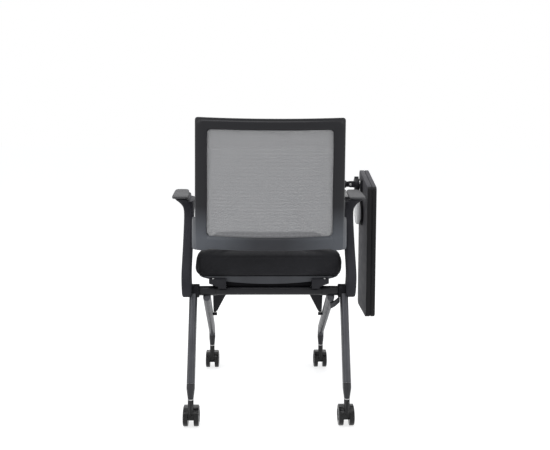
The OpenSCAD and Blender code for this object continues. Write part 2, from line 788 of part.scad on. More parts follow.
shell_half = seat_half - shell_inset;
shell_arc_r = (pow(shell_half, 2) + pow(shell_t - shell_rim, 2)) / (2 * (shell_t - shell_rim));

module shell_solid() {
  low = seat_base_h - shell_t;
  intersection() {
    translate([0, 0, low - over]) linear_extrude(height = shell_t + over)
        polygon(seat_plan(shell_inset));
    translate([0, seat_rear_y + seat_depth + over, 0]) rotate([90, 0, 0])
        linear_extrude(height = seat_depth + 2 * over)
      polygon(concat([for (i = [-16:16]) let (x = i / 16 * shell_half) [x,
          low + shell_arc_r - sqrt(pow(shell_arc_r, 2) - x * x)]],
        [[shell_half, seat_base_h], [-shell_half, seat_base_h]]));
  }
}

seat_screw_low = pivot_h + tube_r + clamp_wall + clamp_foot_rise;

module seat_shell() {
  color("#4d4e54") difference() {
    shell_solid();
    for (p = seat_screw_places) translate([p.x, p.y, seat_base_h - shell_t - over])
        cylinder(r = screw_r, h = shell_t, $fn = fine);
  }
}

seat_screw_places = [for (side = [-1, 1], y = [pivot_y - clamp_len / 3,
    pivot_y + clamp_len / 3]) [side * (clamp_out - seat_screw_in), y]];

// The clamp hooks over the cross tube from the front and spreads to a foot under the shell
module seat_clamp(side) {
  top = seat_base_h - shell_t / 4;
  r = tube_r + clamp_wall;
  color("#333338") on_side_exact(side) difference() {
    union() {
      x_rod(r, clamp_in, clamp_in + clamp_bearing, pivot_y, pivot_h);
      translate([clamp_in, pivot_y - r, pivot_h]) cube([clamp_bearing, 2 * r, top - pivot_h]);
      translate([0, pivot_y + clamp_len / 2, 0]) rotate([90, 0, 0]) linear_extrude(height = clamp_len)
        polygon([[clamp_in, pivot_h + r - clamp_lap], [clamp_in + clamp_bearing,
            pivot_h + r - clamp_lap],
          [clamp_in + clamp_bearing, pivot_h + sleeve_r + clamp_gap],
          [clamp_out, pivot_h + r + clamp_foot_rise],
          [clamp_out, top], [clamp_in, top]]);
    }
    x_rod(tube_r + run_fit, clamp_in - over, clamp_in + clamp_bearing + over, pivot_y, pivot_h);
    translate([clamp_in - over, pivot_y - r - over, pivot_h - r - over])
      cube([clamp_bearing + 2 * over, r + over - clamp_hook, r + over + tube_r * 0.7]);
    translate([0, 0, -seat_fit]) shell_solid();
    for (p = seat_screw_places) translate([abs(p.x), p.y, pivot_h]) {
      cylinder(r = screw_r + run_fit, h = shell_t * 3, $fn = fine);
      cylinder(r = screw_head_r + seat_fit, h = seat_screw_low - pivot_h, $fn = fine);
    }
  }
}

// A plate between the clamps closes the way from the cross tube up to the shell
module seat_cross_plate() {
  half = clamp_in - seat_fit;
  low = pivot_h + tube_r + spacer_gap;
  color("#2b2a2f") difference() {
    translate([-half, pivot_y - spacer_back, low])
      cube([2 * half, spacer_back + spacer_ahead, seat_base_h - shell_t / 4 - low]);
    translate([0, 0, -seat_fit]) shell_solid();
  }
}

module seat_screws() {
  color("#909092") for (p = seat_screw_places) translate([p.x, p.y, 0]) {
    low = seat_screw_low - seat_fit;
    translate([0, 0, low]) cylinder(r = screw_r - run_fit, h = seat_base_h - seat_screw_gap - low,
        $fn = fine);
    translate([0, 0, low - screw_head_t]) cylinder(r = screw_head_r, h = screw_head_t, $fn = fine);
  }
}

strut_low = stop_at.z + stop_pin_r + bumper_t;

// A folded plate: a web across the chair and a flange along it, both running down to the stop pin
module seat_strut(side) {
  top = seat_base_h - shell_t / 4;
  color("#2c2b30") on_side_exact(side) difference() {
    union() {
      translate([0, stop_at.y - strut_web_back, 0]) rotate([90, 0, 0]) linear_extrude(height = strut_t)
        polygon([[strut_in_top, top], [strut_out - strut_foot_w, strut_low], [strut_out, strut_low],
            [strut_out, top]]);
      translate([strut_out - strut_t, 0, 0]) multmatrix([[0, 0, 1, 0], [1, 0, 0, 0], [0, 1, 0, 0], [0,
          0, 0, 1]])
        linear_extrude(height = strut_t)
        polygon([[stop_at.y - strut_behind, top], [stop_at.y - strut_foot_back, strut_low],
          [stop_at.y + strut_foot_ahead, strut_low],
          [stop_at.y + strut_before, top]]);
    }
    translate([0, 0, -seat_fit]) shell_solid();
  }
}

module strut_bumpers() {
  color("#a7a7a4") for (side = [-1, 1]) on_side_exact(side) difference() {
    translate([stop_in + bumper_side, stop_at.y - strut_foot_back, stop_at.z])
      cube([strut_out - stop_in - bumper_side, strut_foot_back + strut_foot_ahead,
        stop_pin_r + bumper_t - seat_fit]);
    x_rod(stop_pin_r + seat_fit, stop_in - over, stop_at.x, stop_at.y, stop_at.z);
    translate([stop_in, stop_at.y - strut_foot_back - over, stop_at.z - over])
      cube([strut_out, strut_foot_back + strut_foot_ahead + 2 * over, stop_pin_r + over]);
  }
}

// Tablet
tablet_outline = [
  [tablet_rear_y, tablet_low_h], [tablet_rear_y + tablet_w, tablet_low_h],
  [tablet_rear_y + tablet_w, tablet_low_h + tablet_len + tablet_rise], [tablet_rear_y,
      tablet_low_h + tablet_len]];

module tablet_slab(x, t, inset) {
  middle = [tablet_rear_y + tablet_w / 2, tablet_low_h + tablet_len / 2];
  share = [1 - 2 * inset / tablet_w, 1 - 2 * inset / tablet_len];
  translate([x, 0, 0]) multmatrix([[0, 0, 1, 0], [1, 0, 0, 0], [0, 1, 0, 0], [0, 0, 0, 1]])
    linear_extrude(height = t) polygon([for (p = rounded_outline(tablet_outline, tablet_corner_r))
      [middle.x + (p.x - middle.x) * share.x, middle.y + (p.y - middle.y) * share.y]]);
}

module tablet_underside() {
  color("#35343a") difference() {
    tablet_slab(tablet_inner, under_t, 0);
    tablet_screw_rods(screw_r, tablet_inner - over, tablet_inner + under_t - under_skin);
  }
}

module tablet_core() { color("#151517") tablet_slab(tablet_inner + under_t, core_t,
    tablet_edge_inset); }

module tablet_top() { color("#5a5a5f") tablet_slab(tablet_inner + under_t + core_t, top_t, 0); }

module tablet_screw_rods(r, x0, x1) {
  for (dy = [-1, 1], dz = [-1, 1])
    x_rod(r, x0, x1, swing_y + dy * mount_plate_w * 0.4 - plate_back,
        swing_h + dz * mount_plate_h * 0.33 - plate_below);
}

disc_x0 = tablet_inner - mount_plate_t - disc_t;

module tablet_mount_plate() {
  color("#2b2a2e") difference() {
    translate([tablet_inner - mount_plate_t, swing_y - mount_plate_w / 2 - plate_back,
        swing_h - mount_plate_h / 2 - plate_below])
      cube([mount_plate_t - seat_fit, mount_plate_w, mount_plate_h]);
    tablet_screw_rods(screw_r + run_fit, tablet_inner - mount_plate_t - over, tablet_inner + over);
  }
}

module tablet_screws() {
  color("#99999b") {
    tablet_screw_rods(screw_r - run_fit, tablet_inner - mount_plate_t - seat_fit,
        tablet_inner + under_t - under_skin - over);
    tablet_screw_rods(screw_head_r, tablet_inner - mount_plate_t - seat_fit - screw_head_t,
        tablet_inner - mount_plate_t - seat_fit);
  }
}

module tablet_hinge() {
  color("#2e2d31") difference() {
    union() {
      x_rod(disc_r, disc_x0, tablet_inner - mount_plate_t - seat_fit, swing_y, swing_h);
      translate([disc_x0, swing_y - disc_tab_w / 2, swing_h])
          cube([disc_t - seat_fit, disc_tab_w, disc_r + disc_tab_h]);
      for (s = [-1, 1]) {
        y0 = s > 0 ? swing_y + tongue_t / 2 + seat_fit : swing_y - tongue_t / 2 - seat_fit - cheek_t;
        y_rod(cheek_r, y0, y0 + cheek_t, tilt_x, swing_h);
        translate([tilt_x, y0, swing_h - cheek_r]) cube([disc_x0 - tilt_x + over, cheek_t,
            2 * cheek_r]);
      }
    }
    y_rod(tilt_pin_r + run_fit, swing_y - disc_r, swing_y + disc_r, tilt_x, swing_h);
    tablet_screw_rods(screw_head_r + seat_fit, disc_x0 - over, tablet_inner);
  }
}

module tablet_tilt_pin() {
  half = tongue_t / 2 + seat_fit + cheek_t;
  color("#a5a5a7") y_rod(tilt_pin_r, swing_y - half, swing_y + half, tilt_x, swing_h);
}

module tablet_shaft() {
  shoulder = tilt_x - cheek_r - shaft_head;
  color("#37363b") difference() {
    union() {
      x_rod(shaft_pin_r, hub_in - shaft_end, hub_out + seat_fit, swing_y, swing_h);
      x_rod(shaft_r, hub_out + seat_fit, shoulder, swing_y, swing_h);
      y_rod(cheek_r - tongue_inset, swing_y - tongue_t / 2, swing_y + tongue_t / 2, tilt_x, swing_h);
      translate([shoulder - over, swing_y - tongue_t / 2, swing_h - cheek_r + tongue_inset])
        cube([tilt_x - shoulder + over, tongue_t, 2 * (cheek_r - tongue_inset)]);
    }
    y_rod(tilt_pin_r + run_fit, swing_y - tongue_t, swing_y + tongue_t, tilt_x, swing_h);
  }
}

module cap_disc(r, x0, x1) { x_rod(r, x0, x1, swing_y - cap_back, swing_h - cap_below); }

module tablet_hinge_cap() {
  color("#c4c4c6") cap_disc(cap_r, tablet_inner - cap_t, tablet_inner - cap_ring_t - seat_fit);
}

module tablet_cap_ring() {
  color("#2a292d") cap_disc(cap_r + cap_ring_lip, tablet_inner - cap_ring_t, tablet_inner - seat_fit);
}

// The bracket lies along the inner side of the right pad and ends in the hub of the tablet's shaft
module tablet_bracket() {
  head_top = pad_h - pad_t;
  inner_rear = pad_outer_rear - pad_w - seat_fit;
  inner_front = pad_outer_front - pad_w + pad_front_in - seat_fit;
  rear = pad_rear_y + bracket_start;
  front = pad_rear_y + pad_len;
  color("#1d1c20") difference() {
    union() {
      translate([0, 0, head_top + seat_fit]) linear_extrude(height = pad_t - bracket_drop)
        polygon([[inner_rear - bracket_w + bracket_taper, rear], [inner_rear, rear], [inner_front,
            front],
          [hub_out, front + bracket_taper], [hub_out, swing_y + hub_bar_r * 0.6],
          [hub_in, swing_y + hub_bar_r * 0.6], [hub_in, front - bracket_step]]);
      translate([hub_in, swing_y - hub_bar_r, head_top + seat_fit + bracket_drop])
        cube([hub_out - hub_in, 2 * hub_bar_r, swing_h - head_top - bracket_drop]);
      x_rod(hub_bar_r, hub_in, hub_out, swing_y, swing_h);
    }
    x_rod(shaft_pin_r + run_fit, hub_in - over, hub_out + over, swing_y, swing_h);
  }
}

placed() back_frame();
placed() back_mesh();
placed() back_wing(-1);  // left_back_wing
placed() back_wing(1);  // right_back_wing
placed() arm(-1);  // left_arm
placed() arm(1);  // right_arm
placed() arm_pad(-1);  // left_arm_pad
placed() arm_pad(1);  // right_arm_pad
placed() tablet_bracket();
placed() cross_tube();
placed() sleeve(-1);  // left_sleeve
placed() sleeve(1);  // right_sleeve
placed() joint_block(-1);  // left_joint_block
placed() joint_block(1);  // right_joint_block
placed() rear_leg(-1);  // left_rear_leg
placed() rear_leg(1);  // right_rear_leg
placed() front_leg(-1);  // left_front_leg
placed() front_leg(1);  // right_front_leg
placed() rear_leg_plugs();
placed() front_leg_plugs();
placed() seat_stop_pins();
placed() right_leg_brace();
placed() arm_bolts();
placed() pad_screws();
placed() seat_cushion();
placed() seat_shell();
placed() seat_clamp(-1);  // left_seat_clamp
placed() seat_clamp(1);  // right_seat_clamp
placed() seat_cross_plate();
placed() seat_strut(-1);  // left_seat_strut
placed() seat_strut(1);  // right_seat_strut
placed() strut_bumpers();
placed() seat_screws();
placed() tablet_shaft();
placed() tablet_hinge();
placed() tablet_tilt_pin();
placed() tablet_mount_plate();
placed() tablet_underside();
placed() tablet_core();
placed() tablet_top();
placed() tablet_hinge_cap();
placed() tablet_cap_ring();
placed() tablet_screws();
placed() caster_body(-rear_track, stem_y_rear);  // rear_left_caster_body
placed() caster_stem(-rear_track, stem_y_rear);  // rear_left_caster_stem
placed() axle(-rear_track, stem_y_rear);  // rear_left_axle
placed() wheels(-rear_track, stem_y_rear);  // rear_left_wheels
placed() caster_body(rear_track, stem_y_rear);  // rear_right_caster_body
placed() caster_stem(rear_track, stem_y_rear);  // rear_right_caster_stem
placed() axle(rear_track, stem_y_rear);  // rear_right_axle
placed() wheels(rear_track, stem_y_rear);  // rear_right_wheels
placed()  // front_left_caster_body
    caster_body(-front_track_low, stem_y_front);
placed()  // front_left_caster_stem
    caster_stem(-front_track_low, stem_y_front);
placed() axle(-front_track_low, stem_y_front);  // front_left_axle
placed() wheels(-front_track_low, stem_y_front);  // front_left_wheels
placed()  // front_right_caster_body
    caster_body(front_track_low, stem_y_front);
placed()  // front_right_caster_stem
    caster_stem(front_track_low, stem_y_front);
placed() axle(front_track_low, stem_y_front);  // front_right_axle
placed() wheels(front_track_low, stem_y_front);  // front_right_wheels
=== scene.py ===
"""Looks of a nesting tablet arm chair, built round its packed construction."""
import json
import math

import bmesh
import bpy
from bpy.props import FloatProperty, FloatVectorProperty, IntProperty, PointerProperty
from mathutils import Euler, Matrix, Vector


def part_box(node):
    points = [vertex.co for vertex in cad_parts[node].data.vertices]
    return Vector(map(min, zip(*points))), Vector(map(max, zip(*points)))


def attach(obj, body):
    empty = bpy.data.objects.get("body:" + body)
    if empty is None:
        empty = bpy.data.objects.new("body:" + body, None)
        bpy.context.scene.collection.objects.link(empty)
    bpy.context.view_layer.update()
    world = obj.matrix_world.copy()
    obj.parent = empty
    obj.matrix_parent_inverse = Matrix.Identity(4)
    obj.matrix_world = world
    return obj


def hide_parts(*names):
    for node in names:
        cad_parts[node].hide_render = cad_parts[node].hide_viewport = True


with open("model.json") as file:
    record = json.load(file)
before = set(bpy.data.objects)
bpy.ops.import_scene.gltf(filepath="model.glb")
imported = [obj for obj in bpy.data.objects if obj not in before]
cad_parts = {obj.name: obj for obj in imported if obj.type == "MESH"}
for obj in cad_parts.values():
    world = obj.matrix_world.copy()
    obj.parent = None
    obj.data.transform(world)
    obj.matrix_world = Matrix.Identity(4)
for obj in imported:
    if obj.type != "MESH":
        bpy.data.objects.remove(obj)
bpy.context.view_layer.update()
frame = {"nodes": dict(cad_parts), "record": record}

bl_info = {
    "name": "Tablet Arm Chair",
    "version": (1, 0, 0),
    "blender": (4, 5, 0),
    "location": "3D View > Sidebar > Chair",
    "description": "Builds the dressed pieces of a nesting chair with a writing tablet",
    "category": "Object",
}

NODES = frame["nodes"]
BODIES = frame["record"]["behaviour"]["bodies"]
SLOTS = {part["node"]: part["material_slot"] for part in frame["record"]["subparts"]}
BODY_OF = {node: body for body, nodes in BODIES.items() for node in nodes}


def middle(node):
    low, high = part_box(node)
    return [(a + b) / 2 for a, b in zip(low, high)]


MID_X = middle("cross_tube")[0]
AXLE_Y = middle("rear_left_wheels")[1]


def at(x, y, z):
    """A place given in millimetres from the chair's middle, its rear axles and the floor."""
    return Vector((MID_X + x / 1000, AXLE_Y + y / 1000, z / 1000))


def mix(a, b, t):
    return a + (b - a) * t


def smooth(t):
    t = max(0.0, min(1.0, t))
    return t * t * (3 - 2 * t)


def along_table(table, value):
    """Row of numbers read from a table by its first column, between its rows."""
    if value <= table[0][0]:
        return table[0][1:]
    for low, high in zip(table, table[1:]):
        if value <= high[0]:
            t = (value - low[0]) / (high[0] - low[0])
            return [mix(a, b, t) for a, b in zip(low[1:], high[1:])]
    return table[-1][1:]


# ---- Mesh tools


def begin():
    """Object mode with nothing selected, ready for a new primitive."""
    if bpy.context.object and bpy.context.object.mode != "OBJECT":
        bpy.ops.object.mode_set(mode="OBJECT")
    bpy.ops.object.select_all(action="DESELECT")


def take(obj):
    begin()
    bpy.context.view_layer.objects.active = obj
    obj.select_set(True)


def edit(obj, mode="VERT"):
    take(obj)
    bpy.ops.object.mode_set(mode="EDIT")
    bpy.ops.mesh.select_mode(type=mode)
    bpy.ops.mesh.select_all(action="DESELECT")
    return bmesh.from_edit_mesh(obj.data)


def apply_modifier(obj, kind, **values):
    take(obj)
    modifier = obj.modifiers.new(kind.title(), kind)
    for key, value in values.items():
        setattr(modifier, key, value)
    bpy.ops.object.modifier_apply(modifier=modifier.name)


def soften(obj):
    apply_modifier(obj, "SUBSURF", levels=1, render_levels=1)


def round_edges(obj, width, segments=2, angle=32):
    apply_modifier(obj, "BEVEL", width=width, segments=segments, limit_method="ANGLE",
                   angle_limit=math.radians(angle), use_clamp_overlap=True, miter_outer="MITER_ARC")


def shade(obj, angle=35):
    take(obj)
    bpy.ops.object.shade_smooth_by_angle(angle=math.radians(angle))


def loft(name, rings, closed=False):
    """A skin through rings of points, extruded ring by ring from a circle and capped if it is open."""
    begin()
    count = len(rings[0])
    bpy.ops.mesh.primitive_circle_add(vertices=count, radius=0.01, fill_type="NOTHING")
    obj = bpy.context.object
    obj.name = obj.data.name = name
    bpy.ops.object.mode_set(mode="EDIT")
    bpy.ops.mesh.select_all(action="SELECT")
    mesh = bmesh.from_edit_mesh(obj.data)
    mesh.verts.ensure_lookup_table()
    first = mesh.verts[0]
    order = [first]
    while len(order) < count:
        last = order[-1]
        order.append(next(e.other_vert(last) for e in last.link_edges
                          if e.other_vert(last) not in order[-2:]))
    for vert, point in zip(order, rings[0]):
        vert.co = point
    ids = [v.index for v in order]
    for ring in list(rings[1:]) + ([rings[0]] if closed else []):
        bpy.ops.mesh.extrude_region_move()
        mesh = bmesh.from_edit_mesh(obj.data)
        mesh.verts.ensure_lookup_table()
        fresh = []
        for index in ids:
            old = mesh.verts[index]
            fresh.append(next(e.other_vert(old) for e in old.link_edges
                              if e.other_vert(old).select and not old.select))
        for vert, point in zip(fresh, ring):
            vert.co = point
        mesh.verts.index_update()
        ids = [v.index for v in fresh]
    if closed:
        bpy.ops.mesh.select_all(action="SELECT")
        bpy.ops.mesh.remove_doubles(threshold=0.00001)
    else:
        bpy.ops.mesh.edge_face_add()
        bpy.ops.mesh.select_all(action="DESELECT")
        bpy.ops.mesh.select_mode(type="EDGE")
        bpy.ops.mesh.select_non_manifold()
        bpy.ops.mesh.edge_face_add()
    bpy.ops.mesh.select_all(action="SELECT")
    bpy.ops.mesh.normals_make_consistent(inside=False)
    bpy.ops.object.mode_set(mode="OBJECT")
    shade(obj, 60)
    return obj


def squared(value, power):
    """A cosine or sine pushed outwards, so that a circle becomes a rounded oblong."""
    return math.copysign(abs(value) ** (2 / power), value)


def directions(count):
    """Cosine and sine of even steps round a circle."""
    for i in range(count):
        a = (i + 0.5) * 2 * math.pi / count
        yield math.cos(a), math.sin(a)


def rounded(cx, cy, w, d, power, count):
    """Points of a rounded oblong round a middle, as (x, y) pairs."""
    return [(cx + w / 2 * squared(c, power), cy + d / 2 * squared(s, power)) for c, s in directions(count)]


def settle(obj, body, slot, nodes=(), look=None):
    """Puts the object's place into its mesh, then gives it its finish and its body."""
    take(obj)
    bpy.ops.object.transform_apply(location=True, rotation=True, scale=True)
    obj.data.materials.clear()
    obj.data.materials.append(finish(look or slot))
    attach(obj, body)
    if nodes:
        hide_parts(*nodes)
    return obj


def dressed(node, width, segments=2, angle=32, look=None):
    """A copy of a construction piece with its loose triangles joined and its edges rounded."""
    begin()
    obj = bpy.data.objects.new(node + "_finish", NODES[node].data.copy())
    bpy.context.scene.collection.objects.link(obj)
    edit(obj)
    bpy.ops.mesh.select_all(action="SELECT")
    bpy.ops.mesh.remove_doubles(threshold=0.00002)
    bpy.ops.mesh.dissolve_limited(angle_limit=math.radians(0.8))
    bpy.ops.object.mode_set(mode="OBJECT")
    if width:
        round_edges(obj, width, segments, angle)
    shade(obj, 34)
    return settle(obj, BODY_OF[node], SLOTS[node], [node], look)


# ---- Settings


class ChairColours(bpy.types.PropertyGroup):
    """Colours of the chair's finishes."""
    back: FloatVectorProperty(name="Back frame", description="Moulded frame of the back and its fins",
                              subtype="COLOR", size=3, default=(0.013, 0.013, 0.015))
    arm: FloatVectorProperty(name="Arms", description="Moulded side frames",
                             subtype="COLOR", size=3, default=(0.024, 0.024, 0.029))
    pad: FloatVectorProperty(name="Arm pads", description="Soft tops of the arms",
                             subtype="COLOR", size=3, default=(0.077, 0.077, 0.08))
    leg: FloatVectorProperty(name="Legs", description="Silver grey coat of the leg tubes",
                             subtype="COLOR", size=3, default=(0.062, 0.063, 0.07))
    seat: FloatVectorProperty(name="Seat fabric", description="Woven cover of the seat",
                              subtype="COLOR", size=3, default=(0.0135, 0.0135, 0.0155))
    thread: FloatVectorProperty(name="Mesh thread", description="Thread of the back's open fabric",
                                subtype="COLOR", size=3, default=(0.215, 0.215, 0.22))
    tablet: FloatVectorProperty(name="Tablet", description="Grained panels of the writing tablet",
                                subtype="COLOR", size=3, default=(0.064, 0.063, 0.069))


class BackSizes(bpy.types.PropertyGroup):
    """Sizes of the back's rim and its mesh."""
    rim_steps: IntProperty(name="Rim steps", description="Stretches along each side of the rim",
                           default=32, min=4, max=60)
    bead: FloatProperty(name="Bead", description="Radius of the cord that holds the mesh in its groove",
                        subtype="DISTANCE", unit="LENGTH", default=0.0016, min=0.0005, max=0.003)
    pitch: FloatProperty(name="Knit pitch", description="Distance between the heavier rows of the knit",
                         subtype="DISTANCE", unit="LENGTH", default=0.0098, min=0.002, max=0.02)


class SeatSizes(bpy.types.PropertyGroup):
    """How the seat cushion is blown up and sewn."""
    pressure: FloatProperty(name="Filling", description="Pressure of the foam against its cover",
                            default=4.0, min=0.0, max=12.0)
    swell: FloatProperty(name="Swell", description="Furthest that the cover may move out",
                         subtype="DISTANCE", unit="LENGTH", default=0.007, min=0.001, max=0.03)
    seam: FloatProperty(name="Seam depth", description="How deep the seam pulls into the border",
                        subtype="DISTANCE", unit="LENGTH", default=0.0016, min=0.0, max=0.005)


class StageSettings(bpy.types.PropertyGroup):
    """Light and viewing angle of the studio."""
    sky: FloatProperty(name="Sky", description="Strength of the even studio light",
                       default=0.62, min=0, max=2)
    lens: FloatProperty(name="Lens", description="Focal length of the camera in millimetres",
                        default=45.56, min=20, max=120)
    tilt: FloatProperty(name="Tilt", description="How far the camera looks down",
                        subtype="ANGLE", unit="ROTATION", default=math.radians(3.7), min=0, max=0.5)


def colours():
    return bpy.context.scene.chair_colours


# ---- Finishes


class Tree:
    """Short words for adding and joining shader nodes."""

    def __init__(self, tree):
        self.tree = tree
        self.shader = self.add("ShaderNodeBsdfPrincipled")
        out = self.add("ShaderNodeOutputMaterial")
        self.join(self.shader.outputs["BSDF"], out.inputs["Surface"])
        self.place = self.add("ShaderNodeTexCoord").outputs["Object"]

    def add(self, kind, **values):
        node = self.tree.nodes.new(kind)
        for key, value in values.items():
            setattr(node, key, value)
        return node

    def join(self, a, b):
        self.tree.links.new(a, b)

    def axes(self):
        """The place's X, Y and Z, by name."""
        node = self.add("ShaderNodeSeparateXYZ")
        self.join(self.place, node.inputs["Vector"])
        return node.outputs

    def noise(self, scale, detail):
        node = self.add("ShaderNodeTexNoise")
        node.inputs["Scale"].default_value = scale
        node.inputs["Detail"].default_value = detail
        node.inputs["Roughness"].default_value = 0.5
        self.join(self.place, node.inputs["Vector"])
        return node.outputs["Fac"]

    def span(self, value, low, high, from_low=0.3, from_high=0.7):
        """A value stretched from one range, by default that of a noise, to another."""
        node = self.add("ShaderNodeMapRange")
        ends = {"From Min": from_low, "From Max": from_high, "To Min": low, "To Max": high}
        for key, number in ends.items():
            node.inputs[key].default_value = number
        self.join(value, node.inputs["Value"])
        return node.outputs["Result"]

    def math(self, what, a, b=None, c=None):
        node = self.add("ShaderNodeMath", operation=what)
        for socket, value in zip(node.inputs, (a, b, c)):
            if value is None:
                continue
            if isinstance(value, (int, float)):
                socket.default_value = value
            else:
                self.join(value, socket)
        return node.outputs[0]

    def wave(self, value, length):
        return self.math("SINE", self.math("MULTIPLY", value, 2 * math.pi / length))

    def tint(self, factor, dark, light):
        """Base colour between two colours."""
        node = self.add("ShaderNodeMix", data_type="RGBA")
        node.inputs["A"].default_value = (*dark, 1)
        node.inputs["B"].default_value = (*light, 1)
        self.join(factor, node.inputs["Factor"])
        self.join(node.outputs["Result"], self.shader.inputs["Base Color"])

    def roughness(self, noise, low, high):
        self.join(self.span(noise, low, high), self.shader.inputs["Roughness"])

    def bump(self, height, strength, distance):
        node = self.add("ShaderNodeBump")
        node.inputs["Strength"].default_value = strength
        node.inputs["Distance"].default_value = distance
        self.join(height, node.inputs["Height"])
        self.join(node.outputs["Normal"], self.shader.inputs["Normal"])

    def set(self, **values):
        for key, value in values.items():
            self.shader.inputs[key.replace("_", " ")].default_value = value


def scaled(colour, factor):
    return tuple(min(1.0, c * factor) for c in colour)


def moulded(t, colour, rough, specular, grain, depth=0.00012, spread=0.22):
    """Moulded plastic: fine spark grain, a faint mottle and rubbed patches."""
    t.tint(t.span(t.noise(7, 4), 0, 1), scaled(colour, 1 - spread), scaled(colour, 1 + spread))
    t.roughness(t.noise(38, 3), rough - 0.06, rough + 0.08)
    t.bump(t.noise(grain, 2), 0.5, depth)
    t.set(Specular_IOR_Level=specular)


def back_plastic(t):
    """Satin moulding with a painted reflection of the floor that turns it lighter and bluer down the uprights
    and fins and along the lower rail.
    """
    axes = t.axes()
    # Painted reflection: a mask that is strongest low down and towards the sides, where the floor's light is
    # reflected.
    low = t.span(axes["Z"], 1, 0, 0.55, 0.64)
    aside = t.math("ABSOLUTE", t.math("SUBTRACT", axes["X"], MID_X))
    floor_reflection = t.math("MULTIPLY", low, t.span(aside, 0.25, 1, 0.04, 0.19))
    mottled_reflection = t.math("MULTIPLY", floor_reflection, t.span(t.noise(9, 4), 0.86, 1.1))
    # The lighter bluish colour is a painted reflection of the floor, mottled by noise; the darker one is the
    # frame's own colour.
    t.tint(mottled_reflection, colours().back, (0.084, 0.09, 0.102))
    t.roughness(t.noise(38, 3), 0.34, 0.46)
    t.bump(t.noise(1200, 2), 0.5, 0.00008)
    t.set(Specular_IOR_Level=0.2)


def coated(t, colour, rough, metal, specular, peel=300):
    """Powder coated steel: orange peel, small nibs and faint streaks."""
    t.tint(t.span(t.noise(22, 4), 0, 1), scaled(colour, 0.86), scaled(colour, 1.12))
    t.roughness(t.noise(70, 3), rough - 0.05, rough + 0.07)
    t.bump(t.noise(peel, 2), 0.35, 0.00012)
    t.set(Metallic=metal, Specular_IOR_Level=specular)


def zinc_steel(t):
    """Brushed steel with a clouded zinc coat."""
    t.tint(t.span(t.noise(120, 3), 0, 1), (0.36, 0.36, 0.37), (0.62, 0.62, 0.61))
    t.roughness(t.noise(300, 2), 0.24, 0.42)
    t.bump(t.noise(1500, 2), 0.2, 0.00005)
    t.set(Metallic=1.0)


def bumper_rubber(t):
    """Dull moulded rubber."""
    t.tint(t.span(t.noise(90, 3), 0, 1), (0.05, 0.05, 0.049), (0.09, 0.09, 0.088))
    t.roughness(t.noise(200, 2), 0.6, 0.8)
    t.bump(t.noise(900, 2), 0.4, 0.0001)


STITCH = 0.0024    # distance between the stitches of the knit, in metres
WEAVE = 0.0022     # distance between the threads of the seat's cover, in metres


def open_knit(t):
    """Open knitted fabric: rows of thread with small openings that let light through."""
    pitch = bpy.context.scene.chair_back.pitch
    axes = t.axes()
    height = t.math("ADD", axes["Z"], t.span(t.noise(24, 2), -0.0002, 0.0002))
    row, heavy = t.wave(height, pitch / 4), t.wave(height, pitch)
    stitch = t.wave(axes["X"], STITCH)
    opening = t.math("MULTIPLY", t.math("ADD", row, 0.35), t.math("ADD", stitch, 0.6))
    threshold = t.math("ADD", t.math("MULTIPLY", heavy, 0.16), 1.45)
    t.join(t.math("LESS_THAN", opening, threshold), t.shader.inputs["Alpha"])
    thread = colours().thread
    tone = t.math("MULTIPLY_ADD", heavy, 0.13, t.span(t.noise(500, 2), 0.1, 0.9))
    t.tint(tone, scaled(thread, 0.7), scaled(thread, 1.35))
    t.bump(t.math("MULTIPLY", row, stitch), 0.4, 0.0004)
    t.set(Roughness=0.72, Specular_IOR_Level=0.25)


def seat_cloth(t):
    """Plain weave with a soft sheen, drawn by three crossed sets of threads."""
    axes = t.axes()
    across, along, up = (t.wave(axes[name], WEAVE) for name in ("X", "Y", "Z"))
    weave = t.math("ADD", t.math("MULTIPLY", across, along), t.math("MULTIPLY", up, 0.6))
    fuzz = t.noise(420, 3)
    colour = colours().seat
    tone = t.math("MULTIPLY_ADD", weave, 0.16, t.span(t.noise(11, 4), 0.25, 0.75))
    t.tint(tone, scaled(colour, 0.55), scaled(colour, 1.7))
    t.roughness(fuzz, 0.7, 0.92)
    t.bump(t.math("MULTIPLY_ADD", weave, 0.5, fuzz), 0.45, 0.0005)
    t.set(Specular_IOR_Level=0.18, Sheen_Weight=0.10, Sheen_Roughness=0.5)


